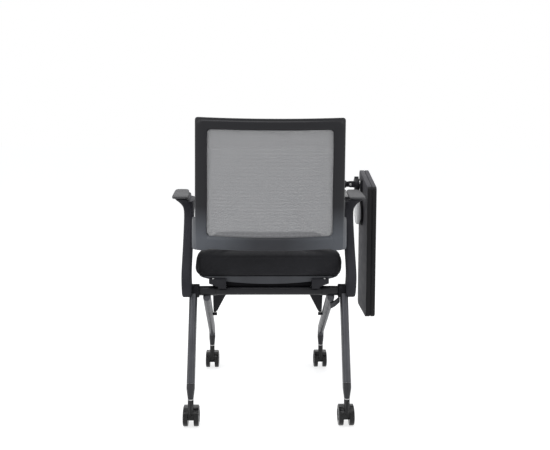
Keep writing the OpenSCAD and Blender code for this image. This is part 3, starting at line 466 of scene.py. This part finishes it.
# Name of each finish's material, and what fills its node tree
FINISHES = {
    "back_plastic": ("back_plastic_grain_and_reflection", back_plastic),
    "mesh_fabric": ("open_knit", open_knit),
    "seat_fabric": ("seat_cloth", seat_cloth),
    "bare_steel": ("zinc_steel", zinc_steel),
    "bumper_rubber": ("bumper_rubber", bumper_rubber),
    "tube_metal": ("tube_coat", lambda t: coated(t, (0.009, 0.009, 0.011), 0.38, 0.0, 0.26)),
    "dark_metal": ("dark_coat", lambda t: coated(t, (0.012, 0.012, 0.015), 0.46, 0.0, 0.2)),
    "grey_metal": ("leg_coat", lambda t: coated(t, colours().leg, 0.4, 0.35, 0.25, 260)),
    "arm_plastic": ("arm_plastic_grain", lambda t: moulded(t, colours().arm, 0.72, 0.16, 900, 0.00014)),
    "pad_plastic": ("pad_skin", lambda t: moulded(t, colours().pad, 0.7, 0.12, 700, 0.0001)),
    "dark_plastic": ("dark_plastic_grain", lambda t: moulded(t, (0.006, 0.006, 0.008), 0.5, 0.12, 1000)),
    "plug_plastic": ("plug_grain", lambda t: moulded(t, (0.018, 0.018, 0.021), 0.45, 0.3, 1000, 0.0001)),
    "shell_plastic": ("shell_plastic_grain", lambda t: moulded(t, (0.034, 0.036, 0.042), 0.42, 0.4, 1000)),
    "tablet_plastic": ("tablet_grain",
                       lambda t: moulded(t, colours().tablet, 0.65, 0.08, 800, 0.0002, 0.15)),
    "tablet_edge": ("tablet_edge_grain",
                    lambda t: moulded(t, scaled(colours().tablet, 0.14), 0.42, 0.15, 1000, 0.0001, 0.12)),
    "core_plastic": ("core_plastic_grain", lambda t: moulded(t, (0.003, 0.003, 0.004), 0.7, 0.08, 900)),
    "light_plastic": ("light_cap_grain",
                      lambda t: moulded(t, (0.7, 0.7, 0.71), 0.4, 0.4, 900, 0.00008, 0.06)),
    "wheel_plastic": ("wheel_nylon", lambda t: moulded(t, (0.004, 0.004, 0.0045), 0.26, 0.3, 500, 0.00008)),
}


def finish(look):
    """The material of a finish, made when it is first asked for."""
    name, paint = FINISHES[look]
    made = bpy.data.materials.get(name)
    if made is None:
        made = bpy.data.materials.new(name)
        made.use_nodes = True
        made.node_tree.nodes.clear()
        paint(Tree(made.node_tree))
    return made


# ---- Shared shape of the back

# Millimetres: half the width at the top, lower and upper edge, widths of the uprights and the rails
BACK_HALF, BACK_LOW, BACK_TOP = 209.0, 510.0, 892.0
STILE, TOP_RAIL, LOW_RAIL = 34.0, 34.0, 45.0
WINDOW_HALF, WINDOW_LOW, WINDOW_TOP = BACK_HALF - STILE, BACK_LOW + LOW_RAIL, BACK_TOP - TOP_RAIL
TOP_HANG = 4.5     # how far the top edge hangs down in the middle
HANG_FROM = 820    # height at which the hanging begins
RAIL_LIFT = 8      # how far the lower rail's edge lies above the ends of the uprights
FLARE = 6          # widening of each side down to the lower edge


def back_y(x, z):
    """The back leans backwards, and its middle is hollowed away from its sides."""
    t = (z - BACK_LOW) / (BACK_TOP - BACK_LOW)
    return mix(-35, -68, t) + mix(54, 29, t) * (x / BACK_HALF) ** 2


def hang(x, z):
    return TOP_HANG * (1 - (x / BACK_HALF) ** 2) * max(0.0, (z - HANG_FROM) / (BACK_TOP - HANG_FROM))


def rail_lift(x, z):
    return RAIL_LIFT * smooth((WINDOW_HALF + 3 - abs(x)) / 6) if z < BACK_LOW + 8 else 0.0


def flared(x, z):
    return x * (1 + FLARE / BACK_HALF * (BACK_TOP - z) / (BACK_TOP - BACK_LOW))


def on_back(loop):
    """An upright outline moved onto the flared and hanging form of the back."""
    return [(flared(x, z), z - hang(x, z)) for x, z in loop]


def rounded_loop(half, low, high, r, steps, turns=6):
    """Outline of a rounded window as (x, z) pairs, with as many points for every size."""
    corners = [(half - r, low + r, -90), (half - r, high - r, 0),
               (-half + r, high - r, 90), (-half + r, low + r, 180)]
    loop = []
    for k, (cx, cz, start) in enumerate(corners):
        for i in range(turns + 1):
            a = math.radians(start + 90 * i / turns)
            loop.append((cx + r * math.cos(a), cz + r * math.sin(a)))
        nx, nz, begin_angle = corners[(k + 1) % 4]
        a = math.radians(begin_angle)
        ahead = (nx + r * math.cos(a), nz + r * math.sin(a))
        here = loop[-1]
        for i in range(1, steps):
            loop.append((mix(here[0], ahead[0], i / steps), mix(here[1], ahead[1], i / steps)))
    return loop


# Section of the rim from the window outwards, as share of its width and depth from the mesh, behind
# and in front; the stepped one is that of the top rail
RIM_REAR = [(0.0, -3.5), (0.03, -6.5), (0.10, -8.6), (0.30, -9.8), (0.56, -10),
            (0.66, -10), (0.86, -9.4), (0.90, -8.8), (0.97, -6.8), (1.0, -3.2)]
RIM_STEPPED = [(0.0, -3.5), (0.03, -6.5), (0.10, -8.6), (0.30, -9.8), (0.64, -10.2),
               (0.69, -10), (0.78, -7.2), (0.82, -6.8), (0.97, -6.2), (1.0, -3.2)]
RIM_FRONT = [(1.0, 3.2), (0.96, 7.2), (0.86, 9.4), (0.62, 10), (0.30, 9.8),
             (0.12, 8.8), (0.105, 5.2), (0.045, 5.0), (0.03, 4.0), (0.0, 2.5)]
COVER_SECTION = [(0, -9.2), (0.03, -10.3), (0.3, -10.9), (0.7, -10.9), (0.97, -10.3),
                 (1, -9.2), (1, -6), (0.5, -5), (0, -6)]


class ChairBackFrame(bpy.types.Operator):
    """Moulded rim of the back with a softly rounded section and a groove for the mesh."""
    bl_idname = "chair.back_frame"
    bl_label = "Back Frame"

    def execute(self, context):
        steps = context.scene.chair_back.rim_steps
        outer = [(flared(x, z), z - hang(x, z) + rail_lift(x, z)) for x, z in
                 rounded_loop(BACK_HALF, BACK_LOW, BACK_TOP, 8, steps)]
        inner = on_back(rounded_loop(WINDOW_HALF, WINDOW_LOW, WINDOW_TOP, 11, steps))
        rings = []
        for (ax, az), (bx, bz) in zip(inner, outer):
            ring = []
            top = smooth((bz - BACK_TOP + 9) / 4)
            rear = [(mix(a, c, top), mix(b, d, top)) for (a, b), (c, d) in zip(RIM_REAR, RIM_STEPPED)]
            for share, depth in rear + RIM_FRONT:
                x, z = mix(ax, bx, share), mix(az, bz, share)
                ring.append(at(x, back_y(x, z) + depth, z))
            rings.append(ring)
        rim = loft("back_rim", rings, closed=True)
        soften(rim)
        shade(rim, 70)
        settle(rim, "frame", "back_plastic", ["back_frame"])
        self.panel()
        return {"FINISHED"}

    def panel(self):
        """Cover set into the lower rail, with a seam at each side against the uprights."""
        rings = []
        half, steps = WINDOW_HALF - 1, 32
        low, high = BACK_LOW + 8.6, WINDOW_LOW - 2.6
        for i in range(steps + 1):
            x = mix(-half, half, i / steps)
            end = 1.2 if i in (0, steps) else 0.0
            ring = []
            for share, depth in COVER_SECTION:
                z = mix(low, high, share)
                ring.append(at(flared(x, z), back_y(flared(x, z), z) + depth + end, z))
            rings.append(ring)
        cover = loft("low_rail_cover", rings)
        round_edges(cover, 0.0006, 2, 50)
        shade(cover, 50)
        settle(cover, "frame", "back_plastic")


class ChairBackMesh(bpy.types.Operator):
    """Open fabric stretched over the window, and the bead that holds it in its groove."""
    bl_idname = "chair.back_mesh"
    bl_label = "Back Mesh"

    def execute(self, context):
        tuck, r = 1.2, 12.0
        half, low, high = WINDOW_HALF + tuck, WINDOW_LOW - tuck, WINDOW_TOP + tuck
        begin()
        bpy.ops.mesh.primitive_grid_add(x_subdivisions=72, y_subdivisions=60, size=1)
        panel = context.object
        panel.name = panel.data.name = "mesh_panel"
        for vert in panel.data.vertices:
            x, z = vert.co.x * 2 * half, mix(low, high, vert.co.y + 0.5)
            past = abs(z - min(max(z, low + r), high - r))
            x *= (half - r + math.sqrt(max(0.0, r * r - past ** 2))) / half
            x, z = flared(x, z), z - hang(x, z)
            vert.co = at(x, back_y(x, z) + 0.6, z)
        edit(panel)
        bpy.ops.mesh.select_all(action="SELECT")
        bpy.ops.mesh.normals_make_consistent(inside=False)
        bpy.ops.object.mode_set(mode="OBJECT")
        shade(panel, 60)
        settle(panel, "frame", "mesh_fabric", ["back_mesh"])
        self.bead(context.scene.chair_back.bead * 1000)
        return {"FINISHED"}

    def bead(self, r):
        """Cord round the window, in front of the mesh."""
        loop = on_back(rounded_loop(WINDOW_HALF + 1, WINDOW_LOW - 1, WINDOW_TOP + 1, 11.5, 18))
        rings = []
        for k, (x, z) in enumerate(loop):
            ax, az = loop[k - 1]
            bx, bz = loop[(k + 1) % len(loop)]
            side = Vector((bz - az, ax - bx)).normalized()
            ring = []
            for i in range(8):
                a = i * math.pi / 4
                u, v = r * math.cos(a), r * math.sin(a)
                ring.append(at(x + side.x * u, back_y(x, z) + 3.4 + v, z + side.y * u))
            rings.append(ring)
        bead = loft("mesh_bead", rings, closed=True)
        shade(bead, 60)
        settle(bead, "frame", "back_plastic", look="dark_plastic")


# Height and place of the line along which a fin meets the arm
ARM_LINE = [(455.2, 62), (508, 82.4), (526.5, 89.6), (605.7, 124.4), (640, 140)]
FIN_END_X = 222.4
# Points round a fin: share of its height and of its thickness
FIN_BEHIND = [(0, 0.35), (0, 0.75), (0.02, 1), (0.25, 1), (0.5, 1), (0.75, 1), (0.97, 1), (1, 0.75), (1, 0.35)]
FIN_SECTION = FIN_BEHIND + [(share, -flank) for share, flank in reversed(FIN_BEHIND)]


class ChairBackWings(bpy.types.Operator):
    """Fins that sweep from the lower corners of the back to the arms."""
    bl_idname = "chair.back_wings"
    bl_label = "Back Wings"

    def execute(self, context):
        for side, word in ((-1, "left"), (1, "right")):
            rings = [[at(side * x, y, z) for x, y, z in self.ring(k / 14)] for k in range(15)]
            wing = loft(word + "_fin", rings)
            soften(wing)
            shade(wing, 50)
            settle(wing, "frame", "back_plastic", [word + "_back_wing"])
        return {"FINISHED"}

    def spot(self, t, z):
        """Place on the bow that a fin follows at one height, from the rim to the arm."""
        rim_x = flared(BACK_HALF, z) - 6
        start = Vector((rim_x, back_y(rim_x, z)))
        end = Vector((FIN_END_X, along_table(ARM_LINE, z)[0]))
        bow = Vector((FIN_END_X, mix(start.y, end.y, 0.28)))
        return start.lerp(bow, t).lerp(bow.lerp(end, t), t)

    def ring(self, t):
        half = mix(19.2, 9, t) / 2
        rise = mix(97, 82, smooth(t))
        low = mix(0.6, 1.5, t)
        points = []
        for share, flank in FIN_SECTION:
            z = BACK_LOW + low + share * rise
            p, q = self.spot(t, z), self.spot(t + 0.01, z)
            d = (q - p).normalized()
            turn = min(1, 4 * t)
            points.append((p.x - d.y * flank * half * turn, p.y + mix(1, d.x, turn) * flank * half, z))
        return points


# Side frames: height, rear edge, front edge, inner side, outer side
ARM_ROWS = [
    (360, 64, 92, 232.0, 252.6), (363, 53, 103, 229.2, 255.2),
    (370, 43, 106, 228.2, 256.0), (382, 35, 103, 228.2, 256.2),
    (399, 29, 96, 228.2, 256.2), (419, 25.5, 87, 228.2, 256.2),
    (436, 28.5, 86, 228.2, 256.2), (454, 38.5, 94, 228.2, 256.2),
    (483, 57, 112, 228.2, 256.2), (514, 77, 130, 228.2, 256.2),
    (545, 93, 147, 228.2, 256.2), (572, 106, 161, 228.2, 256.2),
    (593, 114, 173, 228.2, 256.4), (609, 117, 186, 228.2, 257.2),
    (620, 116, 198, 228.2, 259.4), (628, 112, 214, 228.2, 264.6),
    (634, 107, 234, 228.3, 270.6), (638.2, 102, 252, 228.4, 276.0),
    (639.6, 100.5, 261, 228.8, 278.2), (640.2, 100, 265, 231.0, 279.4),
    (640.5, 99.5, 268, 238.6, 280.2), (641.4, 98.5, 275, 239.6, 281.8),
    (643, 96.5, 286, 240.0, 284.0), (646.2, 93.5, 314, 241.4, 287.6),
    (648.0, 94.5, 316, 243.0, 286.6)]


class ChairArms(bpy.types.Operator):
    """Side frames that rise from the hinge and flare out under the pads."""
    bl_idname = "chair.arms"
    bl_label = "Arms"

    def execute(self, context):
        for side, word in ((-1, "left"), (1, "right")):
            rings = []
            for z, rear, front, inner, outer in ARM_ROWS:
                lean = smooth((z - 634) / 12)
                middle_x, middle_y = (inner + outer) / 2, (rear + front) / 2
                ring = []
                for x, y in rounded(middle_x, middle_y, outer - inner, front - rear, 5.2, 36):
                    along = (y - rear) / (front - rear)
                    ring.append(at(side * (x + lean * (along - 0.35) * 14), y, z))
                rings.append(ring)
            arm = loft(word + "_side_frame", rings)
            soften(arm)
            shade(arm, 50)
            settle(arm, "frame", "arm_plastic", [word + "_arm"])
        return {"FINISHED"}


PAD_REAR, PAD_LENGTH = 90, 236
# Height and inset of each ring of a pad, from its underside to its top
PAD_LEVELS = [(648.3, 2.4), (648.7, 1.1), (649.5, 0.3), (650.8, 0.0), (651.3, 0.6),
              (651.8, 0.6), (652.3, 0.0), (653.6, 0.3), (654.7, 1.6), (655.5, 3.6),
              (655.9, 6.5), (656.1, 11.0), (656.1, 16.0), (656.0, 21.0)]


class ChairArmPads(bpy.types.Operator):
    """Pads with a turned edge and a parting line below it."""
    bl_idname = "chair.arm_pads"
    bl_label = "Arm Pads"

    def execute(self, context):
        for side, word in ((-1, "left"), (1, "right")):
            rings = []
            for z, inset in PAD_LEVELS:
                ring = []
                for u, v in rounded(0, 0, 2, 2, 7.5 - inset * 0.18, 44):
                    y = PAD_REAR + PAD_LENGTH / 2 + v * (PAD_LENGTH / 2 - inset)
                    share = (y - PAD_REAR) / PAD_LENGTH
                    inner, outer = mix(240, 259, share), mix(290, 305, share)
                    x = (inner + outer) / 2 + u * ((outer - inner) / 2 - inset)
                    ring.append(at(side * x, y, z))
                rings.append(ring)
            pad = loft(word + "_pad_skin", rings)
            soften(pad)
            shade(pad, 50)
            settle(pad, "frame", "pad_plastic", [word + "_arm_pad"])
        return {"FINISHED"}


SEAT_MIDDLE_Y, SEAT_HALF_DEPTH = 285, 220
SEAT_REAR_HALF, SEAT_FRONT_HALF = 219, 196
BLOWN_HALF = 0.2212    # half the width of the blown up cushion, in metres
DROOP_Y, DROOP_RUN, DROOP = 395, 110, 9    # the front edge droops from here, over this length, by this much
SEAM_HEIGHT = 476
CLOTH_FRAMES = 20
# Height and inset of each ring of the cushion, from its underside to its top
SEAT_ROWS = [(421.6, 22), (421.6, 14), (423.5, 9.5), (428, 5.5), (436, 2.6), (446, 1.6), (456, 1.4), (465, 2),
             (474, 3.4), (481.5, 6), (486.5, 10.5), (489.2, 18), (490.2, 32), (490.6, 60), (490.8, 100),
             (491, 145), (491, 185)]


class ChairSeat(bpy.types.Operator):
    """Foam seat in a woven cover, blown up by cloth simulation and sewn at its border."""
    bl_idname = "chair.seat"
    bl_label = "Seat"

    def plan(self, inset):
        """Outline of the cushion, squarer behind and narrower in front."""
        points = []
        for c, s in directions(96):
            power = 15.0 if s < 0 else 5.5
            y = SEAT_MIDDLE_Y + (SEAT_HALF_DEPTH - inset) * squared(s, power)
            half = mix(SEAT_REAR_HALF, SEAT_FRONT_HALF, max(0.0, min(1.0, (y - 120) / 385)))
            points.append(((half - inset) * squared(c, power), y))
        return points

    def execute(self, context):
        rings = []
        for z, inset in SEAT_ROWS:
            share = min(1, (z - SEAT_ROWS[0][0]) / 60)
            rings.append([at(x, y, z - DROOP * share * max(0, (y - DROOP_Y) / DROOP_RUN) ** 2)
                          for x, y in self.plan(inset)])
        pad = loft("seat_pad", rings)
        self.blow_up(context, pad)
        self.sew(context, pad)
        shade(pad, 60)
        settle(pad, "seat", "seat_fabric", ["seat_cushion"])
        return {"FINISHED"}

    def blow_up(self, context, pad):
        """Swells the cushion under pressure, held by its underside, and brings it to its width."""
        sizes = context.scene.chair_seat
        apply_modifier(pad, "REMESH", mode="VOXEL", voxel_size=0.0055)
        start = [v.co.copy() for v in pad.data.vertices]
        group = pad.vertex_groups.new(name="held")
        floor = at(0, 0, 423.2).z
        group.add([i for i, co in enumerate(start) if co.z < floor], 1.0, "REPLACE")
        take(pad)
        cloth = pad.modifiers.new("Cloth", "CLOTH")
        cloth.settings.use_pressure = True
        cloth.settings.uniform_pressure_force = sizes.pressure
        cloth.settings.effector_weights.gravity = 0
        cloth.settings.vertex_group_mass = "held"
        cloth.settings.tension_stiffness = 18
        cloth.settings.compression_stiffness = 18
        cloth.settings.bending_stiffness = 0.6
        cloth.point_cache.frame_start, cloth.point_cache.frame_end = 1, CLOTH_FRAMES
        for number in range(1, CLOTH_FRAMES + 1):
            context.scene.frame_set(number)
        take(pad)
        bpy.ops.object.modifier_apply(modifier=cloth.name)
        context.scene.frame_set(1)
        for vert, old in zip(pad.data.vertices, start):
            move = vert.co - old
            if move.length > sizes.swell:
                vert.co = old + move * (sizes.swell / move.length)
        pad.vertex_groups.clear()
        reach = max(abs(vert.co.x - MID_X) for vert in pad.data.vertices)
        for vert in pad.data.vertices:
            vert.co.x = MID_X + (vert.co.x - MID_X) * BLOWN_HALF / reach
        soften(pad)

    def sew(self, context, pad):
        """Pulls the seam between the top and the border inwards, and makes faint gathers beside it."""
        depth = context.scene.chair_seat.seam
        centre = at(0, SEAT_MIDDLE_Y, 0)
        line = at(0, 0, SEAM_HEIGHT).z
        droop_y = at(0, DROOP_Y, 0).y
        for vert in pad.data.vertices:
            co = vert.co
            out = Vector((co.x - centre.x, co.y - centre.y, 0))
            reach = max(abs(out.x) / 0.2, abs(out.y) / 0.21)
            if reach < 0.85:
                continue
            droop = DROOP / 1000 * max(0, (co.y - droop_y) * 1000 / DROOP_RUN) ** 2
            gap = (co.z + droop - line) / 0.0022
            pull = math.exp(-gap * gap)
            turn = math.atan2(out.y, out.x)
            ripple = 0.00035 * math.sin(turn * 61) * math.exp(-(gap / 4) ** 2)
            out.normalize()
            vert.co = co - out * (depth * pull - ripple)


class ChairSeatBase(bpy.types.Operator):
    """Shell, clamps, struts and bumpers under the seat."""
    bl_idname = "chair.seat_base"
    bl_label = "Seat Base"

    def execute(self, context):
        dressed("seat_shell", 0.0016, 3, 40)
        for word in ("left", "right"):
            dressed(word + "_seat_clamp", 0.0012)
            dressed(word + "_seat_strut", 0.0008)
        # The cross plate is a real part; its near-black core finish is painted shade that darkens the gap
        # between the shell and the tube.
        dressed("seat_cross_plate", 0.0008, look="core_plastic")
        self.shade_lip()
        dressed("strut_bumpers", 0.0012)
        dressed("seat_screws", 0.0004)
        return {"FINISHED"}

    def shade_lip(self):
        """Near-black lip below the cross plate, in front of the tube: a dark sheet put in the gap between the
        shell and the tube as painted shade.
        """
        low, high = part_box("seat_cross_plate")
        begin()
        bpy.ops.mesh.primitive_cube_add(size=1, location=(MID_X, high[1] + 0.0008, low[2] - 0.0003))
        shade_lip = bpy.context.object
        shade_lip.name = shade_lip.data.name = "cross_plate_shade_lip"
        shade_lip.scale = (high[0] - low[0] - 0.002, 0.0024, 0.0126)
        bpy.ops.object.transform_apply(location=True, rotation=True, scale=True)
        round_edges(shade_lip, 0.0008)
        shade(shade_lip)
        # Painted shade: the near-black core finish fills the slit between the shell and the tube.
        settle(shade_lip, "seat", "dark_metal", look="core_plastic")


class ChairBase(bpy.types.Operator):
    """Cross tube, sleeves, joint blocks, legs and their plugs."""
    bl_idname = "chair.base"
    bl_label = "Base"

    def execute(self, context):
        dressed("cross_tube", 0.0006, look="tube_metal")
        for word in ("left", "right"):
            dressed(word + "_sleeve", 0.0006, look="tube_metal")
            dressed(word + "_joint_block", 0.0012, 3)
            dressed(word + "_rear_leg", 0)
            dressed(word + "_front_leg", 0)
        for node in ("rear_leg_plugs", "front_leg_plugs"):
            dressed(node, 0, look="plug_plastic")
        dressed("seat_stop_pins", 0.0005)
        dressed("right_leg_brace", 0.001)
        dressed("arm_bolts", 0.0006)
        dressed("pad_screws", 0.0003)
        return {"FINISHED"}


class ChairTablet(bpy.types.Operator):
    """Writing tablet with its bracket, shaft, hinge and cap."""
    bl_idname = "chair.tablet"
    bl_label = "Tablet"

    def execute(self, context):
        dressed("tablet_bracket", 0.0014, 3)
        dressed("tablet_shaft", 0.0006)
        dressed("tablet_hinge", 0.0012)
        dressed("tablet_tilt_pin", 0.0004)
        dressed("tablet_mount_plate", 0.001)
        self.panel("tablet_underside")
        dressed("tablet_core", 0)
        self.panel("tablet_top")
        dressed("tablet_hinge_cap", 0.004, 4)
        dressed("tablet_cap_ring", 0.0015, 3)
        dressed("tablet_screws", 0.0004)
        return {"FINISHED"}

    def panel(self, node):
        """A panel with its grained face and its darker, smoother edge."""
        obj = dressed(node, 0.0035, 4)
        obj.data.materials.append(finish("tablet_edge"))
        for face in obj.data.polygons:
            if abs(face.normal.x) < 0.62 and face.normal.z < 0.8:
                face.material_index = 1


class ChairCasters(bpy.types.Operator):
    """Twin wheel casters: hoods, stems, axles and wheels."""
    bl_idname = "chair.casters"
    bl_label = "Casters"

    def execute(self, context):
        for place in ("rear_left", "rear_right", "front_left", "front_right"):
            dressed(place + "_caster_body", 0.0007)
            dressed(place + "_caster_stem", 0.0004)
            dressed(place + "_axle", 0.0005)
            dressed(place + "_wheels", 0.0006)
        return {"FINISHED"}


# Name, place, turn in degrees, width, depth and power of each lamp
LAMPS = [
    ("overhead_light", (-0.4, -0.6, 2.9), (28, -8, 0), 2.6, 2.0, 46),
    ("left_light", (-2.4, -1.6, 1.5), (72, 0, -58), 1.6, 1.6, 20),
    ("right_light", (2.4, -1.5, 1.4), (74, 0, 60), 1.6, 1.6, 16),
    ("back_light", (0.2, 2.4, 1.9), (-62, 0, 0), 2.4, 1.4, 18)]
CAMERA_PLACE = (-40, -1968, 884)
CAMERA_ROLL, CAMERA_YAW = -0.32, -1.55    # degrees
CAMERA_SHIFT = -60 / 550                  # upward shift of the lens, as a share of the picture's width
FLOOR_GLOW, FLOOR_GLOW_SHARE = 1.52, 0.5  # strength and share of the floor's own light, where it is seen


class ChairStage(bpy.types.Operator):
    """Pale floor, even light, soft lamps and the camera."""
    bl_idname = "chair.stage"
    bl_label = "Studio"

    def execute(self, context):
        scene = context.scene
        settings = scene.chair_stage
        scene.view_settings.view_transform = "Standard"
        self.world(scene, settings)
        self.floor()
        for values in LAMPS:
            self.lamp(*values)
        data = bpy.data.cameras.new("camera")
        camera = bpy.data.objects.new("camera", data)
        scene.collection.objects.link(camera)
        data.sensor_width = 36
        data.lens = settings.lens
        data.shift_y = CAMERA_SHIFT
        data.clip_end = 60
        camera.location = at(*CAMERA_PLACE)
        camera.rotation_euler = Euler((math.radians(90) - settings.tilt,
                                       math.radians(CAMERA_ROLL), math.radians(CAMERA_YAW)))
        scene.camera = camera
        return {"FINISHED"}

    def sight(self, tree):
        """One for what is seen directly, in a gloss or through an opening, and none for the light itself."""
        path = tree.nodes.new("ShaderNodeLightPath")
        last = path.outputs["Is Camera Ray"]
        for word in ("Is Glossy Ray", "Is Transmission Ray"):
            either = tree.nodes.new("ShaderNodeMath")
            either.operation = "MAXIMUM"
            tree.links.new(last, either.inputs[0])
            tree.links.new(path.outputs[word], either.inputs[1])
            last = either.outputs[0]
        return last

    def world(self, scene, settings):
        """Even light on the chair, and plain white where the surroundings are seen."""
        world = bpy.data.worlds.new("studio")
        scene.world = world
        world.use_nodes = True
        tree = world.node_tree
        tree.nodes.clear()
        out = tree.nodes.new("ShaderNodeOutputWorld")
        even = tree.nodes.new("ShaderNodeBackground")
        even.inputs["Color"].default_value = (0.95, 0.97, 1.0, 1)
        even.inputs["Strength"].default_value = settings.sky
        white = tree.nodes.new("ShaderNodeBackground")
        white.inputs["Strength"].default_value = 1.0
        white.inputs["Color"].default_value = (1, 1, 1, 1)
        blend = tree.nodes.new("ShaderNodeMixShader")
        tree.links.new(self.sight(tree), blend.inputs[0])
        tree.links.new(even.outputs[0], blend.inputs[1])
        tree.links.new(white.outputs[0], blend.inputs[2])
        tree.links.new(blend.outputs[0], out.inputs["Surface"])

    def floor(self):
        """Pale ground that takes the chair's shadow and looks as white as its surroundings."""
        begin()
        bpy.ops.mesh.primitive_plane_add(size=40, location=(0, 0, 0))
        floor = bpy.context.object
        floor.name = "floor"
        made = bpy.data.materials.new("floor_white")
        made.use_nodes = True
        tree = made.node_tree
        tree.nodes.clear()
        out = tree.nodes.new("ShaderNodeOutputMaterial")
        plain = tree.nodes.new("ShaderNodeBsdfDiffuse")
        plain.inputs["Color"].default_value = (0.8, 0.8, 0.8, 1)
        white = tree.nodes.new("ShaderNodeEmission")
        white.inputs["Strength"].default_value = FLOOR_GLOW
        share = tree.nodes.new("ShaderNodeMath")
        share.operation = "MULTIPLY"
        share.inputs[1].default_value = FLOOR_GLOW_SHARE
        tree.links.new(self.sight(tree), share.inputs[0])
        blend = tree.nodes.new("ShaderNodeMixShader")
        tree.links.new(share.outputs[0], blend.inputs[0])
        tree.links.new(plain.outputs[0], blend.inputs[1])
        tree.links.new(white.outputs[0], blend.inputs[2])
        tree.links.new(blend.outputs[0], out.inputs["Surface"])
        floor.data.materials.append(made)

    def lamp(self, name, place, turn, width, depth, power):
        data = bpy.data.lights.new(name, "AREA")
        data.shape = "RECTANGLE"
        data.size, data.size_y, data.energy = width, depth, power
        lamp = bpy.data.objects.new(name, data)
        lamp.location = place
        lamp.rotation_euler = Euler([math.radians(a) for a in turn])
        bpy.context.scene.collection.objects.link(lamp)


class ChairPanel(bpy.types.Panel):
    """Sidebar panel that lists the chair's settings and pieces."""
    bl_idname = "VIEW3D_PT_tablet_arm_chair"
    bl_label = "Tablet Arm Chair"
    bl_space_type = "VIEW_3D"
    bl_region_type = "UI"
    bl_category = "Chair"

    def draw(self, context):
        for group in (context.scene.chair_colours, context.scene.chair_back,
                      context.scene.chair_seat, context.scene.chair_stage):
            box = self.layout.box()
            for key in group.bl_rna.properties.keys():
                if key not in {"rna_type", "name"}:
                    box.prop(group, key)
        for operator in PIECES:
            self.layout.operator(operator.bl_idname)


PIECES = (ChairBackFrame, ChairBackMesh, ChairBackWings, ChairArms, ChairArmPads, ChairSeat, ChairSeatBase,
          ChairBase, ChairTablet, ChairCasters, ChairStage)
GROUPS = (("chair_colours", ChairColours), ("chair_back", BackSizes), ("chair_seat", SeatSizes),
          ("chair_stage", StageSettings))


def register():
    for name, group in GROUPS:
        bpy.utils.register_class(group)
        setattr(bpy.types.Scene, name, PointerProperty(type=group))
    for piece in PIECES + (ChairPanel,):
        bpy.utils.register_class(piece)


def unregister():
    for piece in reversed(PIECES + (ChairPanel,)):
        bpy.utils.unregister_class(piece)
    for name, group in reversed(GROUPS):
        delattr(bpy.types.Scene, name)
        bpy.utils.unregister_class(group)


def main():
    register()
    bpy.ops.chair.back_frame()
    bpy.ops.chair.back_mesh()
    bpy.ops.chair.back_wings()
    bpy.ops.chair.arms()
    bpy.ops.chair.arm_pads()
    bpy.ops.chair.seat()
    bpy.ops.chair.seat_base()
    bpy.ops.chair.base()
    bpy.ops.chair.tablet()
    bpy.ops.chair.casters()
    bpy.ops.chair.stage()
    begin()


if __name__ == "__main__":
    main()
